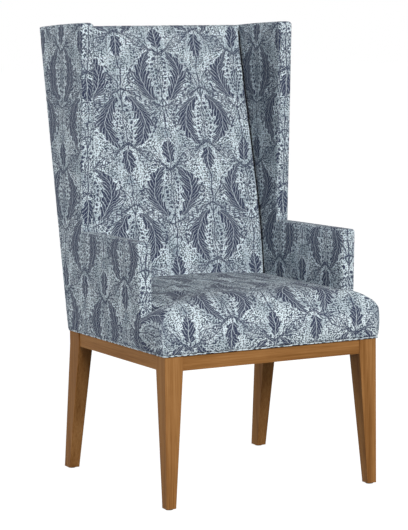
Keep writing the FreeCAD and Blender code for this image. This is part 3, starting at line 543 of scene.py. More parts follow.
def wood(name, axis, tones, gloss):
    """Straight-grained wood along an axis, in three tones from dark to pale."""
    material, tree, out = new_material(name)
    point = tree.nodes.new("ShaderNodeTexCoord").outputs["Object"]
    rings = grain_noise(tree, point, stretched(axis, 1.6, 42), 3.0)
    fibres = grain_noise(tree, point, stretched(axis, 9, 420), 4.0)
    pores = grain_noise(tree, point, stretched(axis, 26, 1500), 1.0)
    figure = grain_noise(tree, point, stretched(axis, 5, 11), 2.0)
    dark, middle, pale = tones
    share = (rings * 0.75 + fibres * 0.55 + figure * 0.2 - 0.29).math("MULTIPLY", 1.0, clamp=True)
    ramp = tree.nodes.new("ShaderNodeValToRGB")
    ramp.color_ramp.elements[0].position = 0.2
    ramp.color_ramp.elements[0].color = dark
    ramp.color_ramp.elements[1].position = 0.82
    ramp.color_ramp.elements[1].color = pale
    ramp.color_ramp.elements.new(0.5).color = middle
    tree.links.new(share.socket, ramp.inputs[0])
    pore_marks = (pores - 0.6).inside(0.1)
    colour = mix_colour(tree, pore_marks * 0.3, ramp.outputs[0], dark)
    relief = (fibres - pore_marks * 0.6, 0.2, 0.0003)
    values = {"Specular IOR Level": 0.05, "Coat Weight": gloss, "Coat Roughness": 0.4}
    surface = finish_surface(tree, out, colour, relief, values)
    tree.links.new((fibres * 0.25 + 0.36).socket, surface.inputs["Roughness"])
    return material


honey = (linear(118, 75, 33), linear(162, 114, 66), linear(187, 140, 90))
beech = (linear(168, 134, 96), linear(196, 164, 124), linear(212, 184, 148))
leg_wood = wood("leg_wood", "Z", honey, 0.03)
cross_wood = wood("cross_apron_wood", "X", honey, 0.03)
side_wood = wood("side_apron_wood", "Y", honey, 0.03)
rail_wood = wood("rail_wood", "X", beech, 0.0)
panel_wood = wood("side_frame_plywood", "Z", beech, 0.0)
print("woods:", ", ".join(m.name for m in (leg_wood, cross_wood, side_wood, rail_wood, panel_wood)))

# %% [markdown]
# ## Steel, nylon, board and lining
# The pieces inside and below the chair are plain: zinc-plated screws, oiled spring wire, nylon glides,
# a brown fibre board behind the back, black non-woven lining below and jute webbing. Each is one noise
# or weave over a base tone.


# %% Plain finishes
def plain(name, dark, pale, roughness, metallic, scale, strength):
    """A finish with a fine mottle between two tones."""
    material, tree, out = new_material(name)
    point = tree.nodes.new("ShaderNodeTexCoord").outputs["Object"]
    mottle = grain_noise(tree, point, (scale, scale, scale), 3.0)
    colour = mix_colour(tree, mottle, linear(*dark), linear(*pale))
    surface = finish_surface(tree, out, colour, (mottle, strength, 0.0002), {"Metallic": metallic})
    tree.links.new((mottle * 0.2 + (roughness - 0.1)).socket, surface.inputs["Roughness"])
    return material


zinc = plain("zinc_plate", (150, 152, 156), (186, 188, 190), 0.36, 1.0, 300, 0.1)
spring_steel = plain("spring_steel", (74, 74, 78), (112, 112, 116), 0.42, 1.0, 400, 0.15)
nylon = plain("glide_nylon", (34, 29, 25), (46, 40, 35), 0.6, 0.0, 500, 0.2)
fibre_board = plain("fibre_board", (112, 84, 58), (140, 108, 76), 0.8, 0.0, 260, 0.3)
print("plain finishes:", ", ".join(m.name for m in (zinc, spring_steel, nylon, fibre_board)))


# %% Plain weaves
def woven(name, dark, pale, pitch):
    """A plain weave with threads at a pitch in metres, on the piece's own UV map."""
    material, tree, out = new_material(name)
    uv = add_node(tree, "ShaderNodeUVMap", uv_map="UVMap")
    warp, weft = ((way * (math.pi / pitch)).math("SINE") for way in split_point(tree, uv.outputs[0]))
    cells = warp * weft * 0.5 + 0.5
    height = cells * 0.7 + factor(plane_noise(tree, uv.outputs[0], 0.6 / pitch, 2.0)) * 0.5
    colour = mix_colour(tree, height.math("MULTIPLY", 0.9, clamp=True), linear(*dark), linear(*pale))
    values = {"Roughness": 0.9, "Specular IOR Level": 0.2}
    finish_surface(tree, out, colour, (height, 0.5, pitch * 0.3), values)
    return material


# The black lining closes the base, and the same material makes the crease strips of painted shade.
lining = woven("black_lining_and_crease_shade", (22, 22, 24), (48, 48, 52), 0.0012)
deck_cloth = woven("deck_cloth", (120, 112, 98), (186, 178, 160), 0.0016)
jute = woven("jute_webbing", (122, 92, 58), (190, 158, 112), 0.0024)
print("weaves:", ", ".join(m.name for m in (lining, deck_cloth, jute)))

# %% [markdown]
# ## Finishes on the CAD nodes
# The hard pieces keep their CAD shape. Their material slots take the finishes above.

# %% Finish the CAD nodes
corners = ("front_left", "front_right", "rear_left", "rear_right")
finishes = {
    leg_wood: [f"{corner}_leg" for corner in corners],
    cross_wood: ["front_apron", "rear_apron"],
    side_wood: ["left_apron", "right_apron"],
    rail_wood: [name for name in nodes if name.endswith("_rail") or name.endswith("_corner_block")],
    panel_wood: ["left_side_frame", "right_side_frame"],
    zinc: ["corner_screws", "body_screws", "frame_screws", "spring_clips"],
    spring_steel: [name for name in nodes if name.startswith("seat_spring_")],
    nylon: ["foot_glides"],
}
finishes[rail_wood].append("apron_dowels")
for material, names in finishes.items():
    for name in names:
        mesh = nodes[name].data
        mesh.materials.clear()
        mesh.materials.append(material)
print(f"{sum(len(names) for names in finishes.values())} CAD nodes finished")

# %% [markdown]
# ## Cut panels
# An upholstered cover is a set of flat cuts that are sewn edge to edge. Each cut here is a four-sided
# outline in flat cloth coordinates, with a grid over it. At each edge the grid rolls over by an angle
# and tucks in, so two neighbours make a seam with a real crease. A lift function then carries the flat
# cut and a small height to its place on the chair. The flat coordinates are also the UV map, so the
# print runs along the cloth as it was cut.


# %% Rolled edges and grid lines
TUCK = 0.004
ROLL_STEP = 0.003
ARRIS = (0.0055, 45)
SOFT_ARRIS = (0.010, 45)
BUTT = (0.002, 90)


def rolled_edge(radius, turn):
    """Grid lines over a rolled edge, from the tucked lip to the face: way in from the outline, and sink."""
    end = math.radians(turn)
    lip_inset, lip_sink = radius * (1 - math.sin(end)), radius * (1 - math.cos(end))
    lines = []
    for depth in (TUCK, TUCK * 0.35):
        lines.append((lip_inset + depth * math.cos(end), lip_sink + depth * math.sin(end)))
    steps = max(3, round(radius * end / ROLL_STEP))
    for step in range(steps, -1, -1):
        angle = end * step / steps
        lines.append((radius * (1 - math.sin(angle)), radius * (1 - math.cos(angle))))
    return lines


def edge_sink(gap, radius):
    """How far a rolled edge has dropped at a distance from the edge."""
    inward = np.clip(radius - gap, 0, radius)
    return radius - np.sqrt(np.maximum(radius * radius - inward * inward, 0))


def grid_lines(span, start, finish, count):
    """Distances along a span, and sinks: one rolled edge, an even face, and the other rolled edge."""
    first, last = start[-1][0], span - finish[-1][0]
    face = [(first + (last - first) * step / count, 0) for step in range(1, count)]
    return np.array(start + face + [(span - inset, sink) for inset, sink in reversed(finish)])


def round_off(near, far, radius):
    """Draw a square corner in to a round one, by the distances from its two edges."""
    a, b = radius - near, radius - far
    is_corner = (a > 0) & (b > 0)
    reach = np.where(is_corner, np.hypot(a, b), 1)
    share = np.where(is_corner, np.maximum(a, b) / np.maximum(reach, 1e-9), 1)
    return np.where(is_corner, radius - a * share, near), np.where(is_corner, radius - b * share, far)


for label, edge in (("arris", ARRIS), ("soft arris", SOFT_ARRIS), ("butt", BUTT)):
    print(f"{label}: {len(rolled_edge(*edge))} lines over {edge[0] * 1000} mm")


# %% Meshes
def ripples(across, along, pitch, seed):
    """Smooth noise over a panel, from -1 to 1."""
    points = zip(across.ravel() / pitch, along.ravel() / pitch)
    return np.array([noise.noise((x, y, seed)) for x, y in points]).reshape(across.shape)


def make_piece(name, points, faces, fabric, material):
    """A mesh object with outward faces, smooth shading and its flat cut as a UV map."""
    mesh = bpy.data.meshes.new(name)
    mesh.from_pydata([tuple(p) for p in points], [], faces)
    layer = mesh.uv_layers.new(name="UVMap")
    corner_points = np.empty(len(mesh.loops), int)
    mesh.loops.foreach_get("vertex_index", corner_points)
    layer.data.foreach_set("uv", np.asarray(fabric, np.float32)[corner_points].ravel())
    tools = bmesh.new()
    tools.from_mesh(mesh)
    bmesh.ops.recalc_face_normals(tools, faces=tools.faces)
    tools.to_mesh(mesh)
    tools.free()
    mesh.polygons.foreach_set("use_smooth", [True] * len(mesh.polygons))
    mesh.materials.append(material)
    piece = bpy.data.objects.new(name, mesh)
    scene.collection.objects.link(piece)
    return piece


def lace(rungs):
    """Faces that close a border between rungs, each a pair of mirrored points."""
    return [tuple(dict.fromkeys((a, c, d, b))) for (a, b), (c, d) in zip(rungs, rungs[1:])]


def closed_grid(rows, columns):
    """Faces of a grid, with its back laced from edge to edge."""
    def at(row, column):
        return row * columns + column

    last = columns - 1
    half = last // 2
    cells = [(j, i) for j in range(rows - 1) for i in range(last)]
    faces = [(at(j, i), at(j, i + 1), at(j + 1, i + 1), at(j + 1, i)) for j, i in cells]
    rungs = [(at(0, i), at(0, last - i)) for i in range(half, 0, -1)]
    rungs += [(at(j, 0), at(j, last)) for j in range(rows)]
    rungs += [(at(rows - 1, i), at(rows - 1, last - i)) for i in range(1, half + 1)]
    return faces + lace(rungs)


print(f"a closed grid of 5 x 7 points has {len(closed_grid(5, 7))} faces")

# %% Cut a panel
CROWN_FADE = 0.03
RIPPLE_HEIGHT, RIPPLE_PITCH = 0.0006, 0.11
PUCKER_DEPTH, PUCKER_REACH, PUCKER_PITCH = 0.0005, 0.010, 0.021
PUCKER_SINK = 0.0015


def cut_panel(name, outline, edges, lift, crown, step=0.006, rounded=(), print_shift=(0, 0), seed=0.0):
    """A sewn panel. Outline and edges run anticlockwise from the lower left corner, the bottom first."""
    (x0, y0), (x1, y1), (x2, y2), (x3, y3) = outline
    bottom, far_side, top, near_side = (rolled_edge(*edge) for edge in edges)
    mean_width = (math.hypot(x1 - x0, y1 - y0) + math.hypot(x2 - x3, y2 - y3)) / 2
    mean_height = (math.hypot(x3 - x0, y3 - y0) + math.hypot(x2 - x1, y2 - y1)) / 2
    columns = max(3, round((mean_width - near_side[-1][0] - far_side[-1][0]) / step))
    rows = max(3, round((mean_height - bottom[-1][0] - top[-1][0]) / step))
    up_lines = grid_lines(mean_height, bottom, top, rows)
    up, up_sink = up_lines[:, 0], up_lines[:, 1]
    across, across_sink, width = [], [], []
    for height in up / mean_height:
        row_width = math.hypot(
            (x1 - x0) * (1 - height) + (x2 - x3) * height, (y1 - y0) * (1 - height) + (y2 - y3) * height
        )
        lines = grid_lines(row_width, near_side, far_side, columns)
        across.append(lines[:, 0])
        across_sink.append(lines[:, 1])
        width.append(row_width)
    near, width = np.array(across), np.array(width)[:, None]
    far = width - near
    low_gap = np.repeat(up[:, None], near.shape[1], 1)
    high_gap = mean_height - low_gap
    for corner, radius in rounded:
        if corner == "near top":
            near, high_gap = round_off(near, high_gap, radius)
            far = width - near
        else:
            far, high_gap = round_off(far, high_gap, radius)
            near = width - far
        low_gap = mean_height - high_gap
    s, t = near / width, low_gap / mean_height
    flat_x = (x0 * (1 - s) + x1 * s) * (1 - t) + (x3 * (1 - s) + x2 * s) * t
    flat_y = (y0 * (1 - s) + y1 * s) * (1 - t) + (y3 * (1 - s) + y2 * s) * t
    sink = np.hypot(np.array(across_sink), up_sink[:, None])
    rise = np.ones_like(near)
    for gap in (near, far, low_gap, high_gap):
        rise = rise * (1 - np.exp(-np.maximum(gap, 0) / CROWN_FADE))
    height = -sink + crown * rise
    height = height + RIPPLE_HEIGHT * rise * ripples(flat_x, flat_y, RIPPLE_PITCH, seed)
    for gap, line in ((near, flat_y), (far, flat_y), (low_gap, flat_x), (high_gap, flat_x)):
        pull = np.exp(-np.maximum(gap, 0) / PUCKER_REACH) * (sink < PUCKER_SINK)
        height = height - PUCKER_DEPTH * pull * (0.5 + ripples(line, gap * 0.3, PUCKER_PITCH, seed + 7))
    points = lift(flat_x, flat_y, height)
    fabric = np.stack([flat_x + print_shift[0], flat_y + print_shift[1]], -1).reshape(-1, 2)
    faces = closed_grid(*near.shape)
    piece = make_piece(name, points.reshape(-1, 3), faces, fabric, cloth_material)
    piece["rows"], piece["columns"] = near.shape
    return piece


def smooth_over(piece):
    """One level of subdivision, the same in the view and the render."""
    finish = piece.modifiers.new("fine surface", "SUBSURF")
    finish.levels = finish.render_levels = 1


def fit_soft(piece, fill, *replaced):
    """Smooth a soft piece, hang it under the root body and let it stand for its CAD solids."""
    smooth_over(piece)
    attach(piece, "root")
    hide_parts(*replaced)


print("panels: rolled edges, even faces, tucked lips")

# %% [markdown]
# ## Arms and wings
# Each side of the chair is one flat padded slab with a stepped front. Its outside and inside are each
# covered by an arm panel and a wing panel, and a narrow border runs round the front and the top. The
# border is two strips, because on the chair it changes direction sharply where the wing stands on the
# arm.


# %% Faces of the sides
WING_BOW = 0.0012
SIDE_FLARE = 0.0030
ARM_LEAN, LEAN_START, LEAN_RUN = 0.0050, 0.02, 0.30


def stack(x, y, z):
    return np.stack(np.broadcast_arrays(x, y, z), -1)


def bowed(y, z):
    """How far the top edge of a wing stands above a straight line."""
    run = np.clip((y - wing_front) / (rear_top - wing_front), 0, 1)
    rise = np.clip((z - arm_height) / (wing_top - arm_height), 0, 1)
    return WING_BOW * np.sin(np.pi * run) * rise**2


def flared(z):
    """How far the padded outer faces stand out beyond the boards, more and more towards the top."""
    return SIDE_FLARE * np.clip((z - skirt) / (back_top - skirt), 0, 1)


def leaned(y, z):
    """The flare of an outer face, with the arm leaning out at its top towards its front."""
    forward_share = np.clip((wing_foot - LEAN_START - y) / LEAN_RUN, 0, 1)
    rise = np.clip((z - inside_foot) / (arm_height - inside_foot), 0, 1)
    return flared(z) + ARM_LEAN * rise * forward_share


def side_face(side, plane, outward):
    """A lift from flat cloth (y, z) to an upright face of a side."""
    def lift(flat_x, flat_y, height):
        lean = leaned(flat_x, flat_y) if outward > 0 else 0
        return stack(side * (plane + lean + outward * height), flat_x, flat_y + bowed(flat_x, flat_y))

    return lift


print(f"outer faces flare by {flared(back_top) * 1000:.1f} mm at the top of the back")

# %% Arm and wing panels
ARM_ROUND, WING_ROUND, REAR_ROUND = 0.008, 0.012, 0.006
SIDE_CROWN = 0.0018
SIDE_PRINT_SHIFT = (0.03, -0.12)
INSIDE_REAR_GAP = 0.010
TIGHT = 0.9


def side_cover(prefix, side, plane, outward, foot, rear_gap, nodes_for_arm, nodes_for_wing):
    """The arm and wing panels on one face of a side. The wing's foot goes down behind the arm's top."""
    edge = ARRIS if outward > 0 else SOFT_ARRIS
    arm_outline = [
        (arm_front, foot),
        (rear_y(foot) - rear_gap, foot),
        (rear_y(arm_height) - rear_gap, arm_height),
        (arm_front, arm_height),
    ]
    seam = arm_height - 0.75 * edge[0]
    wing_end = back_top + (wing_top - back_top) * rear_gap / (rear_top - wing_front)
    wing_outline = [
        (wing_foot, seam),
        (rear_y(seam) - rear_gap, seam),
        (rear_y(wing_end) - rear_gap, wing_end),
        (wing_front, wing_top),
    ]
    lift = side_face(side, plane, outward)
    arm = cut_panel(
        f"{prefix}_arm_panel", arm_outline, (BUTT, ARRIS, edge, edge), lift, SIDE_CROWN,
        rounded=[("near top", ARM_ROUND)], print_shift=SIDE_PRINT_SHIFT, seed=side * 3.1,
    )
    wing = cut_panel(
        f"{prefix}_wing_panel", wing_outline, (BUTT, ARRIS, edge, edge), lift, SIDE_CROWN,
        rounded=[("near top", WING_ROUND), ("far top", REAR_ROUND)],
        print_shift=SIDE_PRINT_SHIFT, seed=side * 5.3,
    )
    fit_soft(arm, TIGHT, *nodes_for_arm)
    fit_soft(wing, TIGHT, *nodes_for_wing)
    return arm, wing


for side, name in ((-1, "left"), (1, "right")):
    outside_pieces = side_cover(
        f"{name}_outside", side, side_x, 1, skirt, 0.0,
        [f"{name}_outside_arm_cover", f"{name}_outer_pad"], [f"{name}_outside_wing_cover"],
    )
    inside_pieces = side_cover(
        f"{name}_inside", side, inner_x, -1, inside_foot, INSIDE_REAR_GAP,
        [f"{name}_inside_arm_cover", f"{name}_inner_pad"], [f"{name}_inside_wing_cover"],
    )
    for piece in outside_pieces + inside_pieces:
        print(f"{piece.name}: {len(piece.data.vertices)} points")

# %% [markdown]
# The border strips are long and narrow, and bend with the outline of the side. Their flat cut is a
# plain rectangle, and the lift wraps it along a path of straight runs and round corners.


# %% Paths round the sides
def rounded_path(points, radius):
    """A path through points in the (y, z) plane, with round corners, as dense points."""
    path = [np.array(points[0], float)]
    for before, corner, after in zip(points, points[1:], points[2:]):
        corner = np.array(corner, float)
        back = (np.array(before) - corner) / np.linalg.norm(np.array(before) - corner)
        ahead = (np.array(after) - corner) / np.linalg.norm(np.array(after) - corner)
        half = math.acos(np.clip(back @ ahead, -1, 1)) / 2
        reach = radius / math.tan(half)
        centre = corner + (back + ahead) / np.linalg.norm(back + ahead) * radius / math.sin(half)
        start, end = corner + back * reach - centre, corner + ahead * reach - centre
        for share in np.linspace(0, 1, 9):
            arm = start * (1 - share) + end * share
            path.append(centre + arm / np.linalg.norm(arm) * radius)
    path.append(np.array(points[-1], float))
    return np.array(path)


def path_lift(side, path):
    """A lift from flat cloth (across, along) to a strip that follows a path round a side."""
    runs = np.linalg.norm(np.diff(path, axis=0), axis=1)
    along = np.concatenate([[0], np.cumsum(runs)])
    ways = np.diff(path, axis=0) / runs[:, None]
    ways = np.vstack([ways[:1], (ways[1:] + ways[:-1]) / 2, ways[-1:]])
    ways /= np.linalg.norm(ways, axis=1)[:, None]

    def lift(flat_x, flat_y, height):
        y, z = np.interp(flat_y, along, path[:, 0]), np.interp(flat_y, along, path[:, 1])
        way_y, way_z = np.interp(flat_y, along, ways[:, 0]), np.interp(flat_y, along, ways[:, 1])
        across = flat_x * (1 + leaned(y, z) / (side_x - inner_x))
        return stack(side * (inner_x + across), y - way_z * height, z + way_y * height)

    return lift, along[-1]


def bowed_path(path):
    """The path round a wing, with its top run drawn out in a slight bow."""
    top_run = np.linspace(path[-2], path[-1], 24)
    path = np.vstack([path[:-2], top_run])
    path[:, 1] += bowed(path[:, 0], path[:, 1])
    return path


arm_points = [(arm_front, inside_foot), (arm_front, arm_height), (wing_foot + 0.001, arm_height)]
wing_points = [(wing_foot, arm_height - 0.001), (wing_front, wing_top), (rear_top, back_top)]
arm_path = rounded_path(arm_points, ARM_ROUND)
wing_path = bowed_path(rounded_path(wing_points, WING_ROUND))
print(f"paths: {len(arm_path)} points round an arm, {len(wing_path)} round a wing")

# %% Border strips
STRIP_CROWN, STRIP_STEP = 0.0012, 0.0048


def border_strip(name, side, path, end_edge, replaced):
    lift, total = path_lift(side, path)
    width = side_x - inner_x
    outline = [(0, 0), (width, 0), (width, total), (0, total)]
    strip = cut_panel(
        name, outline, (BUTT, ARRIS, end_edge, SOFT_ARRIS), lift, STRIP_CROWN, step=STRIP_STEP,
        print_shift=(0.1, path[0][1]), seed=side * 8.7,
    )
    fit_soft(strip, TIGHT, *replaced)
    print(f"{name}: {total:.3f} m long, {len(strip.data.vertices)} points")


for side, name in ((-1, "left"), (1, "right")):
    band, pad = f"{name}_border_band", f"{name}_edge_pad"
    border_strip(f"{name}_arm_border", side, arm_path, BUTT, [band, pad])
    border_strip(f"{name}_wing_border", side, wing_path, ARRIS, [band])

# %% [markdown]
# ## Outside back
# One tall panel closes the back of the chair over a thin board. It is pulled flat, with a slight
# fullness. The board is cut a few millimetres small all round, so that its raw edge stays under the
# turned edge of the cloth.

# %% Outside back panel
OUTSIDE_FULLNESS = 0.0025


def back_face(flat_x, flat_y, height):
    up = skirt + flat_y * math.cos(rear_rake)
    across = flat_x * (1 + flared(up) / side_x)
    return stack(across, rear_y(up) + height * math.cos(rear_rake), up - height * math.sin(rear_rake))


back_run = (back_top - skirt) / math.cos(rear_rake)
outside_back = cut_panel(
    "outside_back_panel",
    [(-side_x, 0), (side_x, 0), (side_x, back_run), (-side_x, back_run)],
    (BUTT, ARRIS, ARRIS, ARRIS),
    back_face,
    OUTSIDE_FULLNESS,
    step=0.008,
    print_shift=(0, 0.05),
    seed=2.2,
)
fit_soft(outside_back, TIGHT, "outside_back_cover")
print(f"outside back {back_run:.3f} m tall, {len(outside_back.data.vertices)} points")

# %% Back board
BOARD_INSET = 0.006
BOARD_DEPTHS = (0.0018, 0.0045)
BOARD_FACES = ((0, 1, 2, 3), (7, 6, 5, 4), (0, 4, 5, 1), (1, 5, 6, 2), (2, 6, 7, 3), (3, 7, 4, 0))
board_x = side_x - BOARD_INSET
board_foot, board_head = skirt + BOARD_INSET, back_top - BOARD_INSET
board_xs = (-board_x, board_x, board_x, -board_x)
board_zs = (board_foot, board_foot, board_head, board_head)
board_points = [(x, rear_y(z) - depth, z) for depth in BOARD_DEPTHS for x, z in zip(board_xs, board_zs)]
board = make_piece("back_board", board_points, BOARD_FACES, np.zeros((8, 2)), fibre_board)
board.data.polygons.foreach_set("use_smooth", [False] * len(board.data.polygons))
worn = board.modifiers.new("worn edges", "BEVEL")
worn.width, worn.segments = 0.0006, 2
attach(board, "root")
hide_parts("outside_back_board")
print(f"back board {2 * board_x:.3f} x {board_head - board_foot:.3f} m")

# %% [markdown]
# ## Cloth simulation
# The seat and the inside back are the two thick pads. Foam pushes their covers out until the cloth is
# tight, and that is what Blender's Cloth does with pressure inside a closed mesh. The seams stay
# pinned. The pads start a little flat, swell for twenty frames, and no point may move further than a
# cap.


# %% Swell a pad
SWELL_FRAMES = 20
PAD_PRESSURE, PAD_CAP = 1.2, 0.006


def swell(piece, pinned, cap):
    """Run Cloth with inner pressure and keep its result in the mesh."""
    count = len(piece.data.vertices)
    rest = np.empty(count * 3, np.float32)
    piece.data.vertices.foreach_get("co", rest)
    group = piece.vertex_groups.new(name="seams")
    group.add([int(i) for i in np.flatnonzero(pinned)], 1.0, "REPLACE")
    cloth = piece.modifiers.new("cloth", "CLOTH")
    settings = cloth.settings
    settings.quality = 6
    settings.mass = 0.3
    settings.tension_stiffness = settings.compression_stiffness = 12
    settings.shear_stiffness = 6
    settings.bending_stiffness = 0.6
    settings.use_pressure = True
    settings.uniform_pressure_force = PAD_PRESSURE
    settings.vertex_group_mass = group.name
    settings.effector_weights.gravity = 0
    cloth.collision_settings.use_collision = False
    for moment in range(1, SWELL_FRAMES + 1):
        scene.frame_set(moment)
    shape = piece.evaluated_get(bpy.context.evaluated_depsgraph_get()).to_mesh()
    result = np.empty(count * 3, np.float32)
    shape.vertices.foreach_get("co", result)
    piece.modifiers.remove(cloth)
    piece.vertex_groups.clear()
    scene.frame_set(1)
    move = (result - rest).reshape(-1, 3)
    far = np.linalg.norm(move, axis=1, keepdims=True)
    cap = np.broadcast_to(cap, count)[:, None]
    move = move * (np.tanh(far / cap) * cap / np.maximum(far, 1e-9))
    piece.data.vertices.foreach_set("co", (rest.reshape(-1, 3) + move).ravel())
    piece.data.update()
    print(f"{piece.name} swelled by up to {np.linalg.norm(move, axis=1).max() * 1000:.1f} mm")


print(f"pads swell for {SWELL_FRAMES} frames, by {PAD_CAP * 1000:.0f} mm at most")

# %% [markdown]
# ## Inside back
# The inside back rises from behind the seat, is fullest at the small of the back, grows slim above it,
# and turns over the top rail. Its sides press against the wings in a deep crease. The side view is one
# path, made of a cubic through four depths of the pad, a quarter round at the top and a level run
# to the rear.


# %% Side view of the inside back
FACE_POINTS = 160
top_roll = 0.012
back_foot = 0.452
back_depths = ((0.440, 0.058), (0.655, 0.074), (0.900, 0.063), (back_top, 0.053))
back_curve = np.polyfit([z for z, _ in back_depths], [d for _, d in back_depths], 3)


def front_y(height):
    return rear_y(height) - np.polyval(back_curve, height)


def back_profile():
    """The side view of the inside back as dense (y, z) points, from the seat up and over the top."""
    rises = np.linspace(back_foot, back_top - top_roll, FACE_POINTS)
    face = [(front_y(z), z) for z in rises]
    start_y = face[-1][0]
    roll_points = []
    for angle in np.radians(np.linspace(8, 90, 11)):
        roll_y = start_y + top_roll * (1 - math.cos(angle))
        roll_points.append((roll_y, back_top - top_roll + top_roll * math.sin(angle)))
    return np.array(face + roll_points + [(rear_top, back_top)])


profile = back_profile()
profile_runs = np.linalg.norm(np.diff(profile, axis=0), axis=1)
profile_along = np.concatenate([[0], np.cumsum(profile_runs)])
profile_ways = np.gradient(profile, profile_along, axis=0)
profile_ways /= np.linalg.norm(profile_ways, axis=1)[:, None]
face_run = profile_along[FACE_POINTS]
back_total = profile_along[-1]
print(f"inside back: {face_run:.3f} m of cloth up its face, {back_total - face_run:.3f} m over its top")

# %% Inside back pad
BACK_CROWN, CROWN_RUN = 0.006, 0.10
BACK_FULLNESS = 0.001
BACK_GAP, TOP_OVERLAP = 0.0042, 0.0005
SIDE_ROLL = 0.014
TOP_FILL = 0.93
PINNED_ROWS, PINNED_COLUMNS = 6, 7
back_half = inner_x - BACK_GAP
top_widening = (inner_x + TOP_OVERLAP) / back_half - 1


def inside_back_lift(flat_x, flat_y, height):
    y, z = (np.interp(flat_y, profile_along, profile[:, axis]) for axis in (0, 1))
    way_y, way_z = (np.interp(flat_y, profile_along, profile_ways[:, axis]) for axis in (0, 1))
    fade = np.clip((face_run - flat_y) / CROWN_RUN, 0, 1)
    full = BACK_CROWN * (1 - (flat_x / back_half) ** 2) * fade * fade * (3 - 2 * fade)
    over_top = np.clip((flat_y - face_run) / top_roll, 0, 1)
    height = height + full + TOP_FILL * over_top * edge_sink(back_half - np.abs(flat_x), SIDE_ROLL)
    wider = 1 + top_widening * over_top
    return stack(flat_x * wider, y - way_z * height, z + way_y * height)


inside_back = cut_panel(
    "inside_back_pad",
    [(-back_half, 0), (back_half, 0), (back_half, back_total), (-back_half, back_total)],
    (BUTT, (SIDE_ROLL, 90), ARRIS, (SIDE_ROLL, 90)),
    inside_back_lift,
    BACK_FULLNESS,
    step=0.0062,
    print_shift=(0, 0.02),
    seed=1.4,
)
back_rows, back_columns = inside_back["rows"], inside_back["columns"]
pins = np.ones((back_rows, back_columns), bool)
top_row = int(np.searchsorted(np.linspace(0, back_total, back_rows), face_run))
pins[PINNED_ROWS:top_row, PINNED_COLUMNS:-PINNED_COLUMNS] = False
swell(inside_back, pins.ravel(), PAD_CAP)
fit_soft(inside_back, 0.8, "inside_back_cover", "back_foam")
print(f"inside back {back_total:.3f} m of cloth, {len(inside_back.data.vertices)} points")

# %% [markdown]
# ## Seat
# The seat is a T: its front is as wide as the chair and stands before the arms, and the rest runs back
# between them. Its top is crowned, its front is a long soft roll, and the corners are round. A grid in
# plan is lifted to the top of the pad, the part of the grid that the arms fill is left out, and walls
# hang from its border.

# %% Plan and top of the seat
SEAT_CLEARANCE = 0.0004
seat_half = high("seat_cover").x
seat_front = low("seat_cover").y
seat_rear = high("seat_cover").y
seat_neck = inner_x - SEAT_CLEARANCE
ear_rear = arm_front - SEAT_CLEARANCE
SEAT_CROWN, SEAT_SIDE, SEAT_ROLL = 0.506, 0.491, 0.446
SEAT_SHOULDER, SEAT_FLARE = 0.451, 0.004
SHOULDER_RUN, SHOULDER_POWER = 0.024, 2.4
SEAT_RIPPLE, SEAT_RIPPLE_PITCH = 0.0007, 0.09
ROLL_DEPTH, ROLL_BLEND = 0.150, 0.003
SEAT_CORNER = 0.014
NECK_ROLL, EAR_ROLL = 0.010, 0.0035
NOTCH_DIP, NOTCH_REACH = 0.018, 0.020
REAR_ROLL = 0.012


def quarter(share):
    """Height of a quarter round over its run, from 1 at the start to 0 at the end."""
    return np.sqrt(np.clip(1 - share * share, 0, 1))


def soft_least(a, b, soft):
    low_one = np.minimum(a, b)
    return low_one - soft * np.log1p(np.exp(-np.abs(a - b) / soft))


def fade_in(value, start, end):
    share = np.clip((value - start) / (end - start), 0, 1)
    return share * share * (3 - 2 * share)


def seat_lines():
    """Lines of the plan grid: x from the middle outwards, y from the rear forwards."""
    neck_turns = np.radians(np.linspace(0, 90, 7))
    neck = seat_neck - NECK_ROLL * (1 - np.sin(neck_turns))
    middle = np.linspace(0, neck[0], 44)[:-1]
    ear = seat_neck + (seat_half - seat_neck) * np.sin(np.radians(np.linspace(0, 90, 11)))[1:]
    half = np.concatenate([middle, neck, ear])
    x_lines = np.concatenate([-half[:0:-1], half])
    roll_start = seat_front + ROLL_DEPTH
    flat = np.linspace(seat_rear, roll_start + 0.004, 60)
    roll_lines = roll_start - ROLL_DEPTH * np.sin(np.radians(np.linspace(0, 90, 33)))
    ear_turns = np.radians(np.linspace(90, 0, 5))
    ear_lines = ear_rear - EAR_ROLL * (1 - np.sin(ear_turns))
    keep = np.abs(roll_lines[:, None] - ear_lines[None, :]).min(1) > 0.0015
    y_lines = np.concatenate([flat, roll_lines[keep], ear_lines])
    return x_lines, np.sort(y_lines)[::-1]


def seat_top(x, y):
    side = np.abs(x)
    crowned = SEAT_SIDE + (SEAT_CROWN - SEAT_SIDE) * (1 - np.clip(side / seat_neck, 0, 1) ** 2)
    roll_start = seat_neck - SHOULDER_RUN * fade_in(ear_rear + 0.02 - y, 0, 0.05)
    over = np.clip((side - roll_start) / (seat_half - roll_start), 0, 1)
    across = SEAT_SHOULDER + (crowned - SEAT_SHOULDER) * (1 - over**SHOULDER_POWER)
    forward_share = np.clip((seat_front + ROLL_DEPTH - y) / ROLL_DEPTH, 0, 1)
    lengthwise = SEAT_ROLL + (SEAT_CROWN + 0.002 - SEAT_ROLL) * quarter(forward_share)
    return soft_least(across, lengthwise, ROLL_BLEND)


x_lines, y_lines = seat_lines()
print(f"seat grid: {len(x_lines)} lines across and {len(y_lines)} from rear to front")


# %% Top of the pad
def cloth_run(lines, heights):
    """The length of cloth along a line of heights."""
    return np.concatenate([[0], np.cumsum(np.hypot(np.diff(lines), np.diff(heights)))])


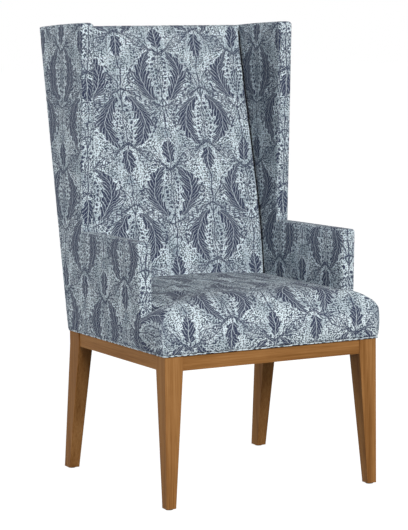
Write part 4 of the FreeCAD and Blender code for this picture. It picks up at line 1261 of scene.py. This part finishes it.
def lift_seat():
    """Places of the grid on the pad, and the part of the grid that the T covers."""
    x, y = np.meshgrid(x_lines, y_lines)
    side = np.abs(x)
    z = seat_top(x, y)
    neck_drop = edge_sink(seat_neck - side, NECK_ROLL) * fade_in(y, ear_rear - 0.006, ear_rear + 0.02)
    z = z - neck_drop * (side <= seat_neck)
    ear_gap = ear_rear - y
    ear_drop = edge_sink(ear_gap, EAR_ROLL) * fade_in(side, seat_neck - 0.004, seat_neck + 0.006)
    ear_drop = ear_drop * (ear_gap >= -1e-9)
    over = np.clip((side - seat_neck) / (seat_half - seat_neck), 0, 1)
    z = z - ear_drop * quarter(over)
    side = side - ear_drop * over
    from_notch = ((side - seat_neck) ** 2 + (y - ear_rear) ** 2) / NOTCH_REACH**2
    z = z - NOTCH_DIP * np.exp(-from_notch / 2)
    z = z - edge_sink(seat_rear - y, REAR_ROLL)
    z = z + SEAT_RIPPLE * ripples(x, y, SEAT_RIPPLE_PITCH, 4.2)
    side_gap, front_gap = round_off(seat_half - side, y - seat_front, SEAT_CORNER)
    plan_x, plan_y = np.sign(x) * (seat_half - side_gap), seat_front + front_gap
    is_seat = ~((np.abs(x) > seat_neck + 1e-6) & (y > ear_rear + 1e-6))
    return stack(plan_x, plan_y, z), is_seat


seat_places, is_seat = lift_seat()
seat_u = cloth_run(x_lines, seat_top(x_lines, np.zeros_like(x_lines)))
seat_u = seat_u - seat_u[len(seat_u) // 2]
seat_v = -cloth_run(y_lines, seat_top(np.zeros_like(y_lines), y_lines))
numbers = np.full(is_seat.shape, -1)
numbers[is_seat] = np.arange(is_seat.sum())
seat_points = list(seat_places[is_seat])
seat_faces, face_fabric = [], []
for j in range(len(y_lines) - 1):
    for i in range(len(x_lines) - 1):
        quad = [(j, i), (j, i + 1), (j + 1, i + 1), (j + 1, i)]
        if all(is_seat[place] for place in quad):
            seat_faces.append(tuple(int(numbers[place]) for place in quad))
            face_fabric.extend((seat_u[column], seat_v[row]) for row, column in quad)
top_count = len(seat_points)
print(f"top of the seat: {top_count} points, {len(seat_faces)} faces")

# %% Walls of the pad
WALL_DROPS = (0.1, 0.25, 0.4, 0.55, 0.7, 0.84, 0.93, 0.97, 1.0, 1.0)
WALL_INSETS = (0, 0, 0, 0, 0, 0, 0.0004, 0.0013, 0.0030, 0.0060)
WALL_BULGE = 0.0016
TUCK_RISE = 0.064
tuck_foot = skirt + TUCK_RISE


def seat_border():
    """The border of the T as grid places in order, each with the wall that hangs from it."""
    rows, columns = numbers.shape
    ear_row = next(j for j in range(rows) if is_seat[j, 0])
    neck_low = next(i for i in range(columns) if is_seat[0, i])
    neck_high = columns - 1 - neck_low
    border = [((rows - 1, i), "front") for i in range(columns)]
    border += [((j, columns - 1), "right") for j in range(rows - 1, ear_row - 1, -1)]
    border += [((ear_row, i), "tuck") for i in range(columns - 1, neck_high - 1, -1)]
    border += [((j, neck_high), "tuck") for j in range(ear_row, -1, -1)]
    border += [((0, i), "tuck") for i in range(neck_high, neck_low - 1, -1)]
    border += [((j, neck_low), "tuck") for j in range(0, ear_row + 1)]
    border += [((ear_row, i), "tuck") for i in range(neck_low, -1, -1)]
    border += [((j, 0), "left") for j in range(ear_row, rows)]
    loop = []
    for place, wall in border:
        if not loop or loop[-1][0] != place:
            loop.append((place, wall))
    if loop[0][0] == loop[-1][0]:
        loop.pop()
    return loop


def wall_fabric(place, wall, depth):
    """The flat cloth at a depth below a place on the border."""
    u, v = seat_u[place[1]], seat_v[place[0]]
    if wall == "front":
        v = v - depth
    elif wall in ("left", "right"):
        u = u + (depth if wall == "right" else -depth)
    return u, v


def hang_walls(loop):
    """Walls from the border down to the welt, or behind the arms. Returns the points of the last ring."""
    previous = [int(numbers[place]) for place, _ in loop]
    tops = [seat_points[i].copy() for i in previous]
    count = len(loop)
    depth_before = 0.0
    for drop, inset in zip(WALL_DROPS, WALL_INSETS):
        out = np.sin(np.pi * drop) * WALL_BULGE
        depth = drop * (SEAT_ROLL - skirt)
        ring = []
        for k, (_, wall) in enumerate(loop):
            top = tops[k]
            before, after = tops[k - 1], tops[(k + 1) % count]
            way = after[:2] - before[:2]
            normal = np.array([way[1], -way[0]]) / max(np.hypot(*way), 1e-9)
            foot = tuck_foot if wall == "tuck" else skirt
            shift = normal * ((0 if wall == "tuck" else out) - inset)
            ring.append(len(seat_points))
            seat_points.append(
                np.array([top[0] + shift[0], top[1] + shift[1], top[2] + (foot - top[2]) * drop])
            )
        for k in range(count):
            n = (k + 1) % count
            seat_faces.append((previous[k], previous[n], ring[n], ring[k]))
            wall = loop[k][1] if loop[k][1] != "tuck" else loop[n][1]
            for index, deep in ((k, depth_before), (n, depth_before), (n, depth), (k, depth)):
                face_fabric.append(wall_fabric(loop[index][0], wall, deep))
        depth_before = depth
        previous = ring
    return previous


def close_bottom(loop, ring):
    """A flat bottom, laced from the left half of the last ring to its right half."""
    below = {place: point for (place, _), point in zip(loop, ring)}
    rows, columns = numbers.shape
    half_way = [place for place, _ in loop]
    turn = half_way.index((rows - 1, columns // 2))
    half_way = half_way[turn::-1] + half_way[:turn:-1]
    half_way = half_way[:half_way.index((0, columns // 2)) + 1]
    for face in lace([(below[j, i], below[j, columns - 1 - i]) for j, i in half_way]):
        seat_faces.append(face)
        face_fabric.extend((0, 0) for _ in face)


border = seat_border()
close_bottom(border, hang_walls(border))
for point in seat_points:
    flare = fade_in(point[2], skirt, SEAT_SHOULDER) * fade_in(abs(point[0]), seat_neck, seat_half)
    point[0] += math.copysign(SEAT_FLARE * flare, point[0])
print(f"walls of the seat: {len(seat_points) - top_count} points round a border of {len(border)}")

# %% Seat pad
SEAT_PRINT_SHIFT = 0.33
FREE_FROM_ROW, FREE_LEVELS = 5, 5
NECK_PIN = 0.004
WALL_CAP = 0.002
count = len(seat_points)
seat = make_piece("seat_pad", seat_points, seat_faces, np.zeros((count, 2)), cloth_material)
fabric_by_face = {}
start = 0
for face in seat_faces:
    fabric_by_face[tuple(sorted(face))] = dict(zip(face, face_fabric[start:start + len(face)]))
    start += len(face)
layer = seat.data.uv_layers["UVMap"]
for polygon in seat.data.polygons:
    places = fabric_by_face[tuple(sorted(polygon.vertices))]
    for corner in polygon.loop_indices:
        u, v = places[seat.data.loops[corner].vertex_index]
        layer.data[corner].uv = (u, v + SEAT_PRINT_SHIFT)
is_free = is_seat.copy()
is_free[:FREE_FROM_ROW] = False
is_free &= (np.abs(x_lines)[None, :] <= seat_neck - NECK_PIN) | (y_lines[:, None] <= ear_rear - NECK_PIN)
pins = np.ones(count, bool)
pins[numbers[is_free]] = False
is_tuck = np.array([wall == "tuck" for _, wall in border])
for level in range(FREE_LEVELS):
    first = top_count + level * len(border)
    pins[first:first + len(border)] = is_tuck
caps = np.full(count, PAD_CAP)
caps[top_count:] = WALL_CAP
swell(seat, pins, caps)
fit_soft(seat, 0.85, "seat_cover", "seat_foam")
print(f"seat pad: {count} points, {pins.sum()} of them held")

# %% [markdown]
# ## Welt
# A cloth-covered cord runs round the lower edge of the upholstery, just above the wood. Geometry Nodes
# lay it: a line of four corners gets round corners, then a small circle is swept along it. The length
# along the cord and the way round it become its UV map, so the cloth on the cord follows it.


# %% Geometry Nodes helpers
def new_tree(name, inputs):
    """A geometry tree with its named inputs, its first node and its last node."""
    tree = bpy.data.node_groups.new(name, "GeometryNodeTree")
    tree.interface.new_socket("Geometry", in_out="INPUT", socket_type="NodeSocketGeometry")
    tree.interface.new_socket("Geometry", in_out="OUTPUT", socket_type="NodeSocketGeometry")
    for label, kind in inputs:
        tree.interface.new_socket(label, in_out="INPUT", socket_type=kind)
    return tree, tree.nodes.new("NodeGroupInput"), tree.nodes.new("NodeGroupOutput")


def run_tree(name, tree, points, edges, values):
    """Run a tree on a line drawing and keep the result as a plain mesh object."""
    drawing = bpy.data.meshes.new(name + "_drawing")
    drawing.from_pydata(points, edges, [])
    carrier = bpy.data.objects.new(name + "_carrier", drawing)
    scene.collection.objects.link(carrier)
    modifier = carrier.modifiers.new("tree", "NODES")
    modifier.node_group = tree
    for item in tree.interface.items_tree:
        if item.in_out == "INPUT" and item.name in values:
            modifier[item.identifier] = values[item.name]
    graph = bpy.context.evaluated_depsgraph_get()
    mesh = bpy.data.meshes.new_from_object(carrier.evaluated_get(graph))
    bpy.data.objects.remove(carrier)
    mesh.name = name
    piece = bpy.data.objects.new(name, mesh)
    scene.collection.objects.link(piece)
    return piece


print("a tree runs on a line drawing and leaves a plain mesh")


# %% Tree of the welt
def welt_tree():
    inputs = (
        ("Cord radius", "NodeSocketFloat"),
        ("Corner radius", "NodeSocketFloat"),
        ("Cloth", "NodeSocketMaterial"),
    )
    tree, start, end = new_tree("welt cord", inputs)
    link = tree.links.new
    line = tree.nodes.new("GeometryNodeMeshToCurve")
    fillet = tree.nodes.new("GeometryNodeFilletCurve")
    spaced = tree.nodes.new("GeometryNodeResampleCurve")
    ring = tree.nodes.new("GeometryNodeCurvePrimitiveCircle")
    sweep = tree.nodes.new("GeometryNodeCurveToMesh")
    way, turn = tree.nodes.new("GeometryNodeSplineParameter"), tree.nodes.new("GeometryNodeSplineParameter")
    keep_way, keep_turn = (tree.nodes.new("GeometryNodeStoreNamedAttribute") for _ in range(2))
    read_way, read_turn = (tree.nodes.new("GeometryNodeInputNamedAttribute") for _ in range(2))
    pair = tree.nodes.new("ShaderNodeCombineXYZ")
    keep_uv = tree.nodes.new("GeometryNodeStoreNamedAttribute")
    smooth = tree.nodes.new("GeometryNodeSetShadeSmooth")
    real = tree.nodes.new("GeometryNodeRealizeInstances")
    finish = tree.nodes.new("GeometryNodeSetMaterial")
    fillet.mode, spaced.mode = "POLY", "LENGTH"
    fillet.inputs["Count"].default_value = 6
    spaced.inputs["Length"].default_value = 0.004
    ring.inputs["Resolution"].default_value = 10
    for named, label in ((keep_way, "way"), (read_way, "way"), (keep_turn, "turn"), (read_turn, "turn")):
        named.data_type = "FLOAT"
        named.inputs["Name"].default_value = label
    keep_uv.data_type, keep_uv.domain = "FLOAT2", "CORNER"
    keep_uv.inputs["Name"].default_value = "UVMap"
    link(start.outputs["Geometry"], line.inputs[0])
    link(line.outputs[0], fillet.inputs["Curve"])
    link(start.outputs["Corner radius"], fillet.inputs["Radius"])
    link(fillet.outputs[0], spaced.inputs["Curve"])
    link(spaced.outputs[0], keep_way.inputs["Geometry"])
    link(way.outputs["Length"], keep_way.inputs["Value"])
    link(start.outputs["Cord radius"], ring.inputs["Radius"])
    link(ring.outputs[0], keep_turn.inputs["Geometry"])
    link(turn.outputs["Length"], keep_turn.inputs["Value"])
    link(keep_way.outputs[0], sweep.inputs["Curve"])
    link(keep_turn.outputs[0], sweep.inputs["Profile Curve"])
    link(read_turn.outputs[0], pair.inputs[0])
    link(read_way.outputs[0], pair.inputs[1])
    link(sweep.outputs[0], keep_uv.inputs["Geometry"])
    link(pair.outputs[0], keep_uv.inputs["Value"])
    link(keep_uv.outputs[0], smooth.inputs["Geometry"])
    link(smooth.outputs[0], real.inputs[0])
    link(real.outputs[0], finish.inputs["Geometry"])
    link(start.outputs["Cloth"], finish.inputs["Material"])
    link(finish.outputs[0], end.inputs[0])
    return tree


cord_tree = welt_tree()
print(f"the tree of the welt has {len(cord_tree.nodes)} nodes")


# %% Welt cord
def piping_cloth():
    """The print cut on the bias round a thin cord: short pale and dark flecks along it."""
    material, tree, out = new_material("piping_cloth")
    uv = add_node(tree, "ShaderNodeUVMap", uv_map="UVMap")
    bias = {"Rotation": (0, 0, math.radians(40)), "Scale": (190, 90, 1)}
    slant = add_node(tree, "ShaderNodeMapping", bias)
    tree.links.new(uv.outputs[0], slant.inputs["Vector"])
    flecks = factor(plane_noise(tree, slant.outputs[0], 1.0, 1.5))
    colour = mix_colour(tree, (flecks - 0.49).inside(0.04), SLATE_GREY, ICE_BLUE)
    threads = factor(plane_noise(tree, uv.outputs[0], 1400.0, 1.0))
    values = {"Roughness": 0.86, "Specular IOR Level": 0.28}
    finish_surface(tree, out, colour, (threads, 0.4, 0.0003), values)
    return material


WELT_CORNER = 0.006
welt_low, welt_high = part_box("base_welt")
cord = (welt_high.z - welt_low.z) / 2
welt_left, welt_right = welt_low.x + cord, welt_high.x - cord
welt_front, welt_rear = welt_low.y + cord, welt_high.y - cord
welt_xs = (welt_left, welt_right, welt_right, welt_left)
welt_ys = (welt_front, welt_front, welt_rear, welt_rear)
welt = run_tree(
    "base_welt_cord",
    cord_tree,
    [(x, y, welt_low.z + cord) for x, y in zip(welt_xs, welt_ys)],
    [(0, 1), (1, 2), (2, 3), (3, 0)],
    {"Cord radius": cord, "Corner radius": WELT_CORNER, "Cloth": piping_cloth()},
)
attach(welt, "root")
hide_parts("base_welt")
welt_round = 2 * (welt_right - welt_left + welt_rear - welt_front)
print(f"welt {len(welt.data.polygons)} faces, {welt_round:.2f} m round")

# %% [markdown]
# ## Cloths inside and below
# A deck cloth lies over the springs, three lengths of jute webbing run up the back, and a black lining
# closes the base between the legs. They are thin sheets, so each is a grid with a little thickness. The
# lining is notched at the legs and hangs a few millimetres in the middle, as stapled lining does.


# %% Thin sheets
SHEET_STEP = 0.014
SHEET_THICKNESS = 0.0006


def thin_sheet(name, node, lines_x, lines_y, place, material, notches=()):
    """A sheet over grid lines, carried to its place, without the cells that the notches take."""
    x, y = np.meshgrid(lines_x, lines_y)
    columns = len(lines_x)
    faces = []
    for j in range(len(lines_y) - 1):
        for i in range(columns - 1):
            middle_x, middle_y = (lines_x[i] + lines_x[i + 1]) / 2, (lines_y[j] + lines_y[j + 1]) / 2
            if any(lo.x < middle_x < hi.x and lo.y < middle_y < hi.y for lo, hi in notches):
                continue
            first = j * columns + i
            faces.append((first, first + 1, first + columns + 1, first + columns))
    used = sorted({point for face in faces for point in face})
    new_number = {point: k for k, point in enumerate(used)}
    points = place(x, y).reshape(-1, 3)[used]
    fabric = np.stack([x, y], -1).reshape(-1, 2)[used]
    faces = [tuple(new_number[point] for point in face) for face in faces]
    sheet = make_piece(name, points, faces, fabric, material)
    wall = sheet.modifiers.new("thickness", "SOLIDIFY")
    wall.thickness = SHEET_THICKNESS
    wall.offset = 0
    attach(sheet, "root")
    if node:
        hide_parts(node)


def lines_through(start, stops, end, step):
    """Even grid lines from start to end that also pass through the stops."""
    marks = sorted({start, *stops, end})
    runs = [np.linspace(a, b, max(2, round((b - a) / step) + 1))[:-1] for a, b in zip(marks, marks[1:])]
    return np.append(np.concatenate(runs), end)


deck_low, deck_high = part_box("spring_deck")
thin_sheet(
    "deck_sheet",
    "spring_deck",
    lines_through(deck_low.x, (), deck_high.x, SHEET_STEP),
    lines_through(deck_low.y, (), deck_high.y, SHEET_STEP),
    lambda x, y: stack(x, y, (deck_low.z + deck_high.z) / 2 + 0.0003 * ripples(x, y, 0.05, 3.0)),
    deck_cloth,
)

# %% Lining below the base
LINING_SAG = 0.003
leg_room = Vector((0.0008, 0.0008, 0))
lining_low, lining_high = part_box("dust_cover")
leg_boxes = [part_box(f"{corner}_leg") for corner in corners]
around_legs = [(lo - leg_room, hi + leg_room) for lo, hi in leg_boxes]
stops_x = [c.x for box in around_legs for c in box if lining_low.x < c.x < lining_high.x]
stops_y = [c.y for box in around_legs for c in box if lining_low.y < c.y < lining_high.y]


def lining_place(x, y):
    full = np.sin(np.pi * (x - lining_low.x) / (lining_high.x - lining_low.x))
    full = full * np.sin(np.pi * (y - lining_low.y) / (lining_high.y - lining_low.y))
    return stack(x, y, (lining_low.z + lining_high.z) / 2 - LINING_SAG * full)


thin_sheet(
    "dust_lining",
    "dust_cover",
    lines_through(lining_low.x, stops_x, lining_high.x, SHEET_STEP),
    lines_through(lining_low.y, stops_y, lining_high.y, SHEET_STEP),
    lining_place,
    lining,
    around_legs,
)

# %% Webbing straps
for index in (1, 2, 3):
    strap = f"back_strap_{index}"
    strap_low, strap_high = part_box(strap)
    foot_y, head_y = sum(depth_at(strap, strap_low.z)) / 2, sum(depth_at(strap, strap_high.z)) / 2
    strap_run = math.hypot(head_y - foot_y, strap_high.z - strap_low.z)

    def strap_place(x, run, foot_y=foot_y, head_y=head_y, lo=strap_low, hi=strap_high, total=strap_run):
        share = run / total
        return stack(x, foot_y + (head_y - foot_y) * share, lo.z + (hi.z - lo.z) * share)

    thin_sheet(
        f"webbing_{index}",
        strap,
        lines_through(strap_low.x, (), strap_high.x, 0.01),
        lines_through(0.0, (), strap_run, 0.02),
        strap_place,
        jute,
    )

# %% [markdown]
# ## Painted shade in the creases
# A strip of black lining stands in each crease beside the inside back as painted shade. It takes the place
# of the deep shadow where the covers of the arm and the wing go in behind the back pad. Its edge shows as
# the dark line down each side of the inside back.

# %% Crease strips of painted shade
CREASE_START, CREASE_END = 0.007, 0.032
CREASE_GAP, CREASE_TOP = 0.0024, 0.016
# Painted shade: a black sheet set in each crease, where the real chair has only shadow.
crease_x = inner_x - CREASE_GAP
for side, name in ((-1, "left"), (1, "right")):
    thin_sheet(
        f"{name}_painted_crease_shade_strip",
        None,
        np.linspace(CREASE_START, CREASE_END, 4),
        np.linspace(back_foot, back_top - CREASE_TOP, 70),
        lambda depth, z: stack(side * crease_x, front_y(z) + depth, z),
        lining,
    )

# %% [markdown]
# ## Staples and stitches
# The lining is held by a row of wire staples near its edge, and the outside back is closed by hand with
# slip stitches down both sides. Both repeat along a path, so one Geometry Nodes tree sets a short bar
# at even steps along a line, turned to follow it.


# %% Tree of bars along a path
def bars_tree():
    inputs = (
        ("Step", "NodeSocketFloat"),
        ("Bar size", "NodeSocketVector"),
        ("Slant", "NodeSocketFloat"),
        ("Finish", "NodeSocketMaterial"),
    )
    tree, start, end = new_tree("bars along a path", inputs)
    link = tree.links.new
    line = tree.nodes.new("GeometryNodeMeshToCurve")
    spaced = tree.nodes.new("GeometryNodeCurveToPoints")
    spaced.mode = "LENGTH"
    bar = tree.nodes.new("GeometryNodeMeshCube")
    for axis in "XYZ":
        bar.inputs[f"Vertices {axis}"].default_value = 2
    chance = tree.nodes.new("FunctionNodeRandomValue")
    chance.inputs["Seed"].default_value = 5
    chance.inputs[2].default_value, chance.inputs[3].default_value = -0.12, 0.12
    lean = add_node(tree, "ShaderNodeMath", operation="ADD")
    turn = tree.nodes.new("ShaderNodeCombineXYZ")
    to_turn = tree.nodes.new("FunctionNodeEulerToRotation")
    aim = add_node(tree, "FunctionNodeAlignRotationToVector", axis="X")
    both = tree.nodes.new("FunctionNodeRotateRotation")
    both.rotation_space = "LOCAL"
    place = tree.nodes.new("GeometryNodeInstanceOnPoints")
    real = tree.nodes.new("GeometryNodeRealizeInstances")
    finish = tree.nodes.new("GeometryNodeSetMaterial")
    link(start.outputs["Geometry"], line.inputs[0])
    link(line.outputs[0], spaced.inputs["Curve"])
    link(start.outputs["Step"], spaced.inputs["Length"])
    link(start.outputs["Bar size"], bar.inputs["Size"])
    link(start.outputs["Slant"], lean.inputs[0])
    link(chance.outputs[1], lean.inputs[1])
    link(lean.outputs[0], turn.inputs[2])
    link(turn.outputs[0], to_turn.inputs[0])
    link(spaced.outputs["Tangent"], aim.inputs["Vector"])
    link(aim.outputs[0], both.inputs["Rotation"])
    link(to_turn.outputs[0], both.inputs["Rotate By"])
    link(spaced.outputs["Points"], place.inputs["Points"])
    link(bar.outputs["Mesh"], place.inputs["Instance"])
    link(both.outputs[0], place.inputs["Rotation"])
    link(place.outputs[0], real.inputs[0])
    link(real.outputs[0], finish.inputs["Geometry"])
    link(start.outputs["Finish"], finish.inputs["Material"])
    link(finish.outputs[0], end.inputs[0])
    return tree


bars = bars_tree()
print(f"the tree of bars has {len(bars.nodes)} nodes")

# %% Staples of the lining
EDGE_IN = 0.006
LEG_CLEARANCE = 0.012
staple_z = lining_low.z + 0.0001
left_x, right_x = lining_low.x + EDGE_IN, lining_high.x - EDGE_IN
front_y_in, rear_y_in = lining_low.y + EDGE_IN, lining_high.y - EDGE_IN
leg_x = min(abs(c.x) for box in around_legs for c in box) - LEG_CLEARANCE
leg_front = max(hi.y for (lo, hi) in around_legs if lo.y < 0) + LEG_CLEARANCE
leg_rear = min(lo.y for (lo, hi) in around_legs if lo.y > 0) - LEG_CLEARANCE
staple_points = [
    (-leg_x, front_y_in, staple_z), (leg_x, front_y_in, staple_z),
    (-leg_x, rear_y_in, staple_z), (leg_x, rear_y_in, staple_z),
    (left_x, leg_front, staple_z), (left_x, leg_rear, staple_z),
    (right_x, leg_front, staple_z), (right_x, leg_rear, staple_z),
]
staples = run_tree(
    "lining_staples",
    bars,
    staple_points,
    [(0, 1), (2, 3), (4, 5), (6, 7)],
    {"Step": 0.045, "Bar size": (0.010, 0.0011, 0.0008), "Slant": 0.0, "Finish": zinc},
)
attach(staples, "root")
print(f"{len(staples.data.polygons) // 6} staples")

# %% Slip stitches
STITCH_INSET, STITCH_MARGIN = 0.0036, 0.012
thread = plain("sewing_thread", (64, 76, 96), (120, 134, 148), 0.7, 0.0, 900, 0.3)
stitch_x = side_x - STITCH_INSET
stitch_foot, stitch_head = skirt + STITCH_MARGIN, back_top - STITCH_MARGIN
stitch_points = []
for side in (-1, 1):
    for z in (stitch_foot, stitch_head):
        stitch_points.append((side * (stitch_x + flared(z)), rear_y(z), z))
stitches = run_tree(
    "back_stitches",
    bars,
    stitch_points,
    [(0, 1), (2, 3)],
    {"Step": 0.011, "Bar size": (0.0055, 0.0009, 0.0008), "Slant": 0.0, "Finish": thread},
)
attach(stitches, "root")
print(f"{len(stitches.data.polygons) // 6} stitches")
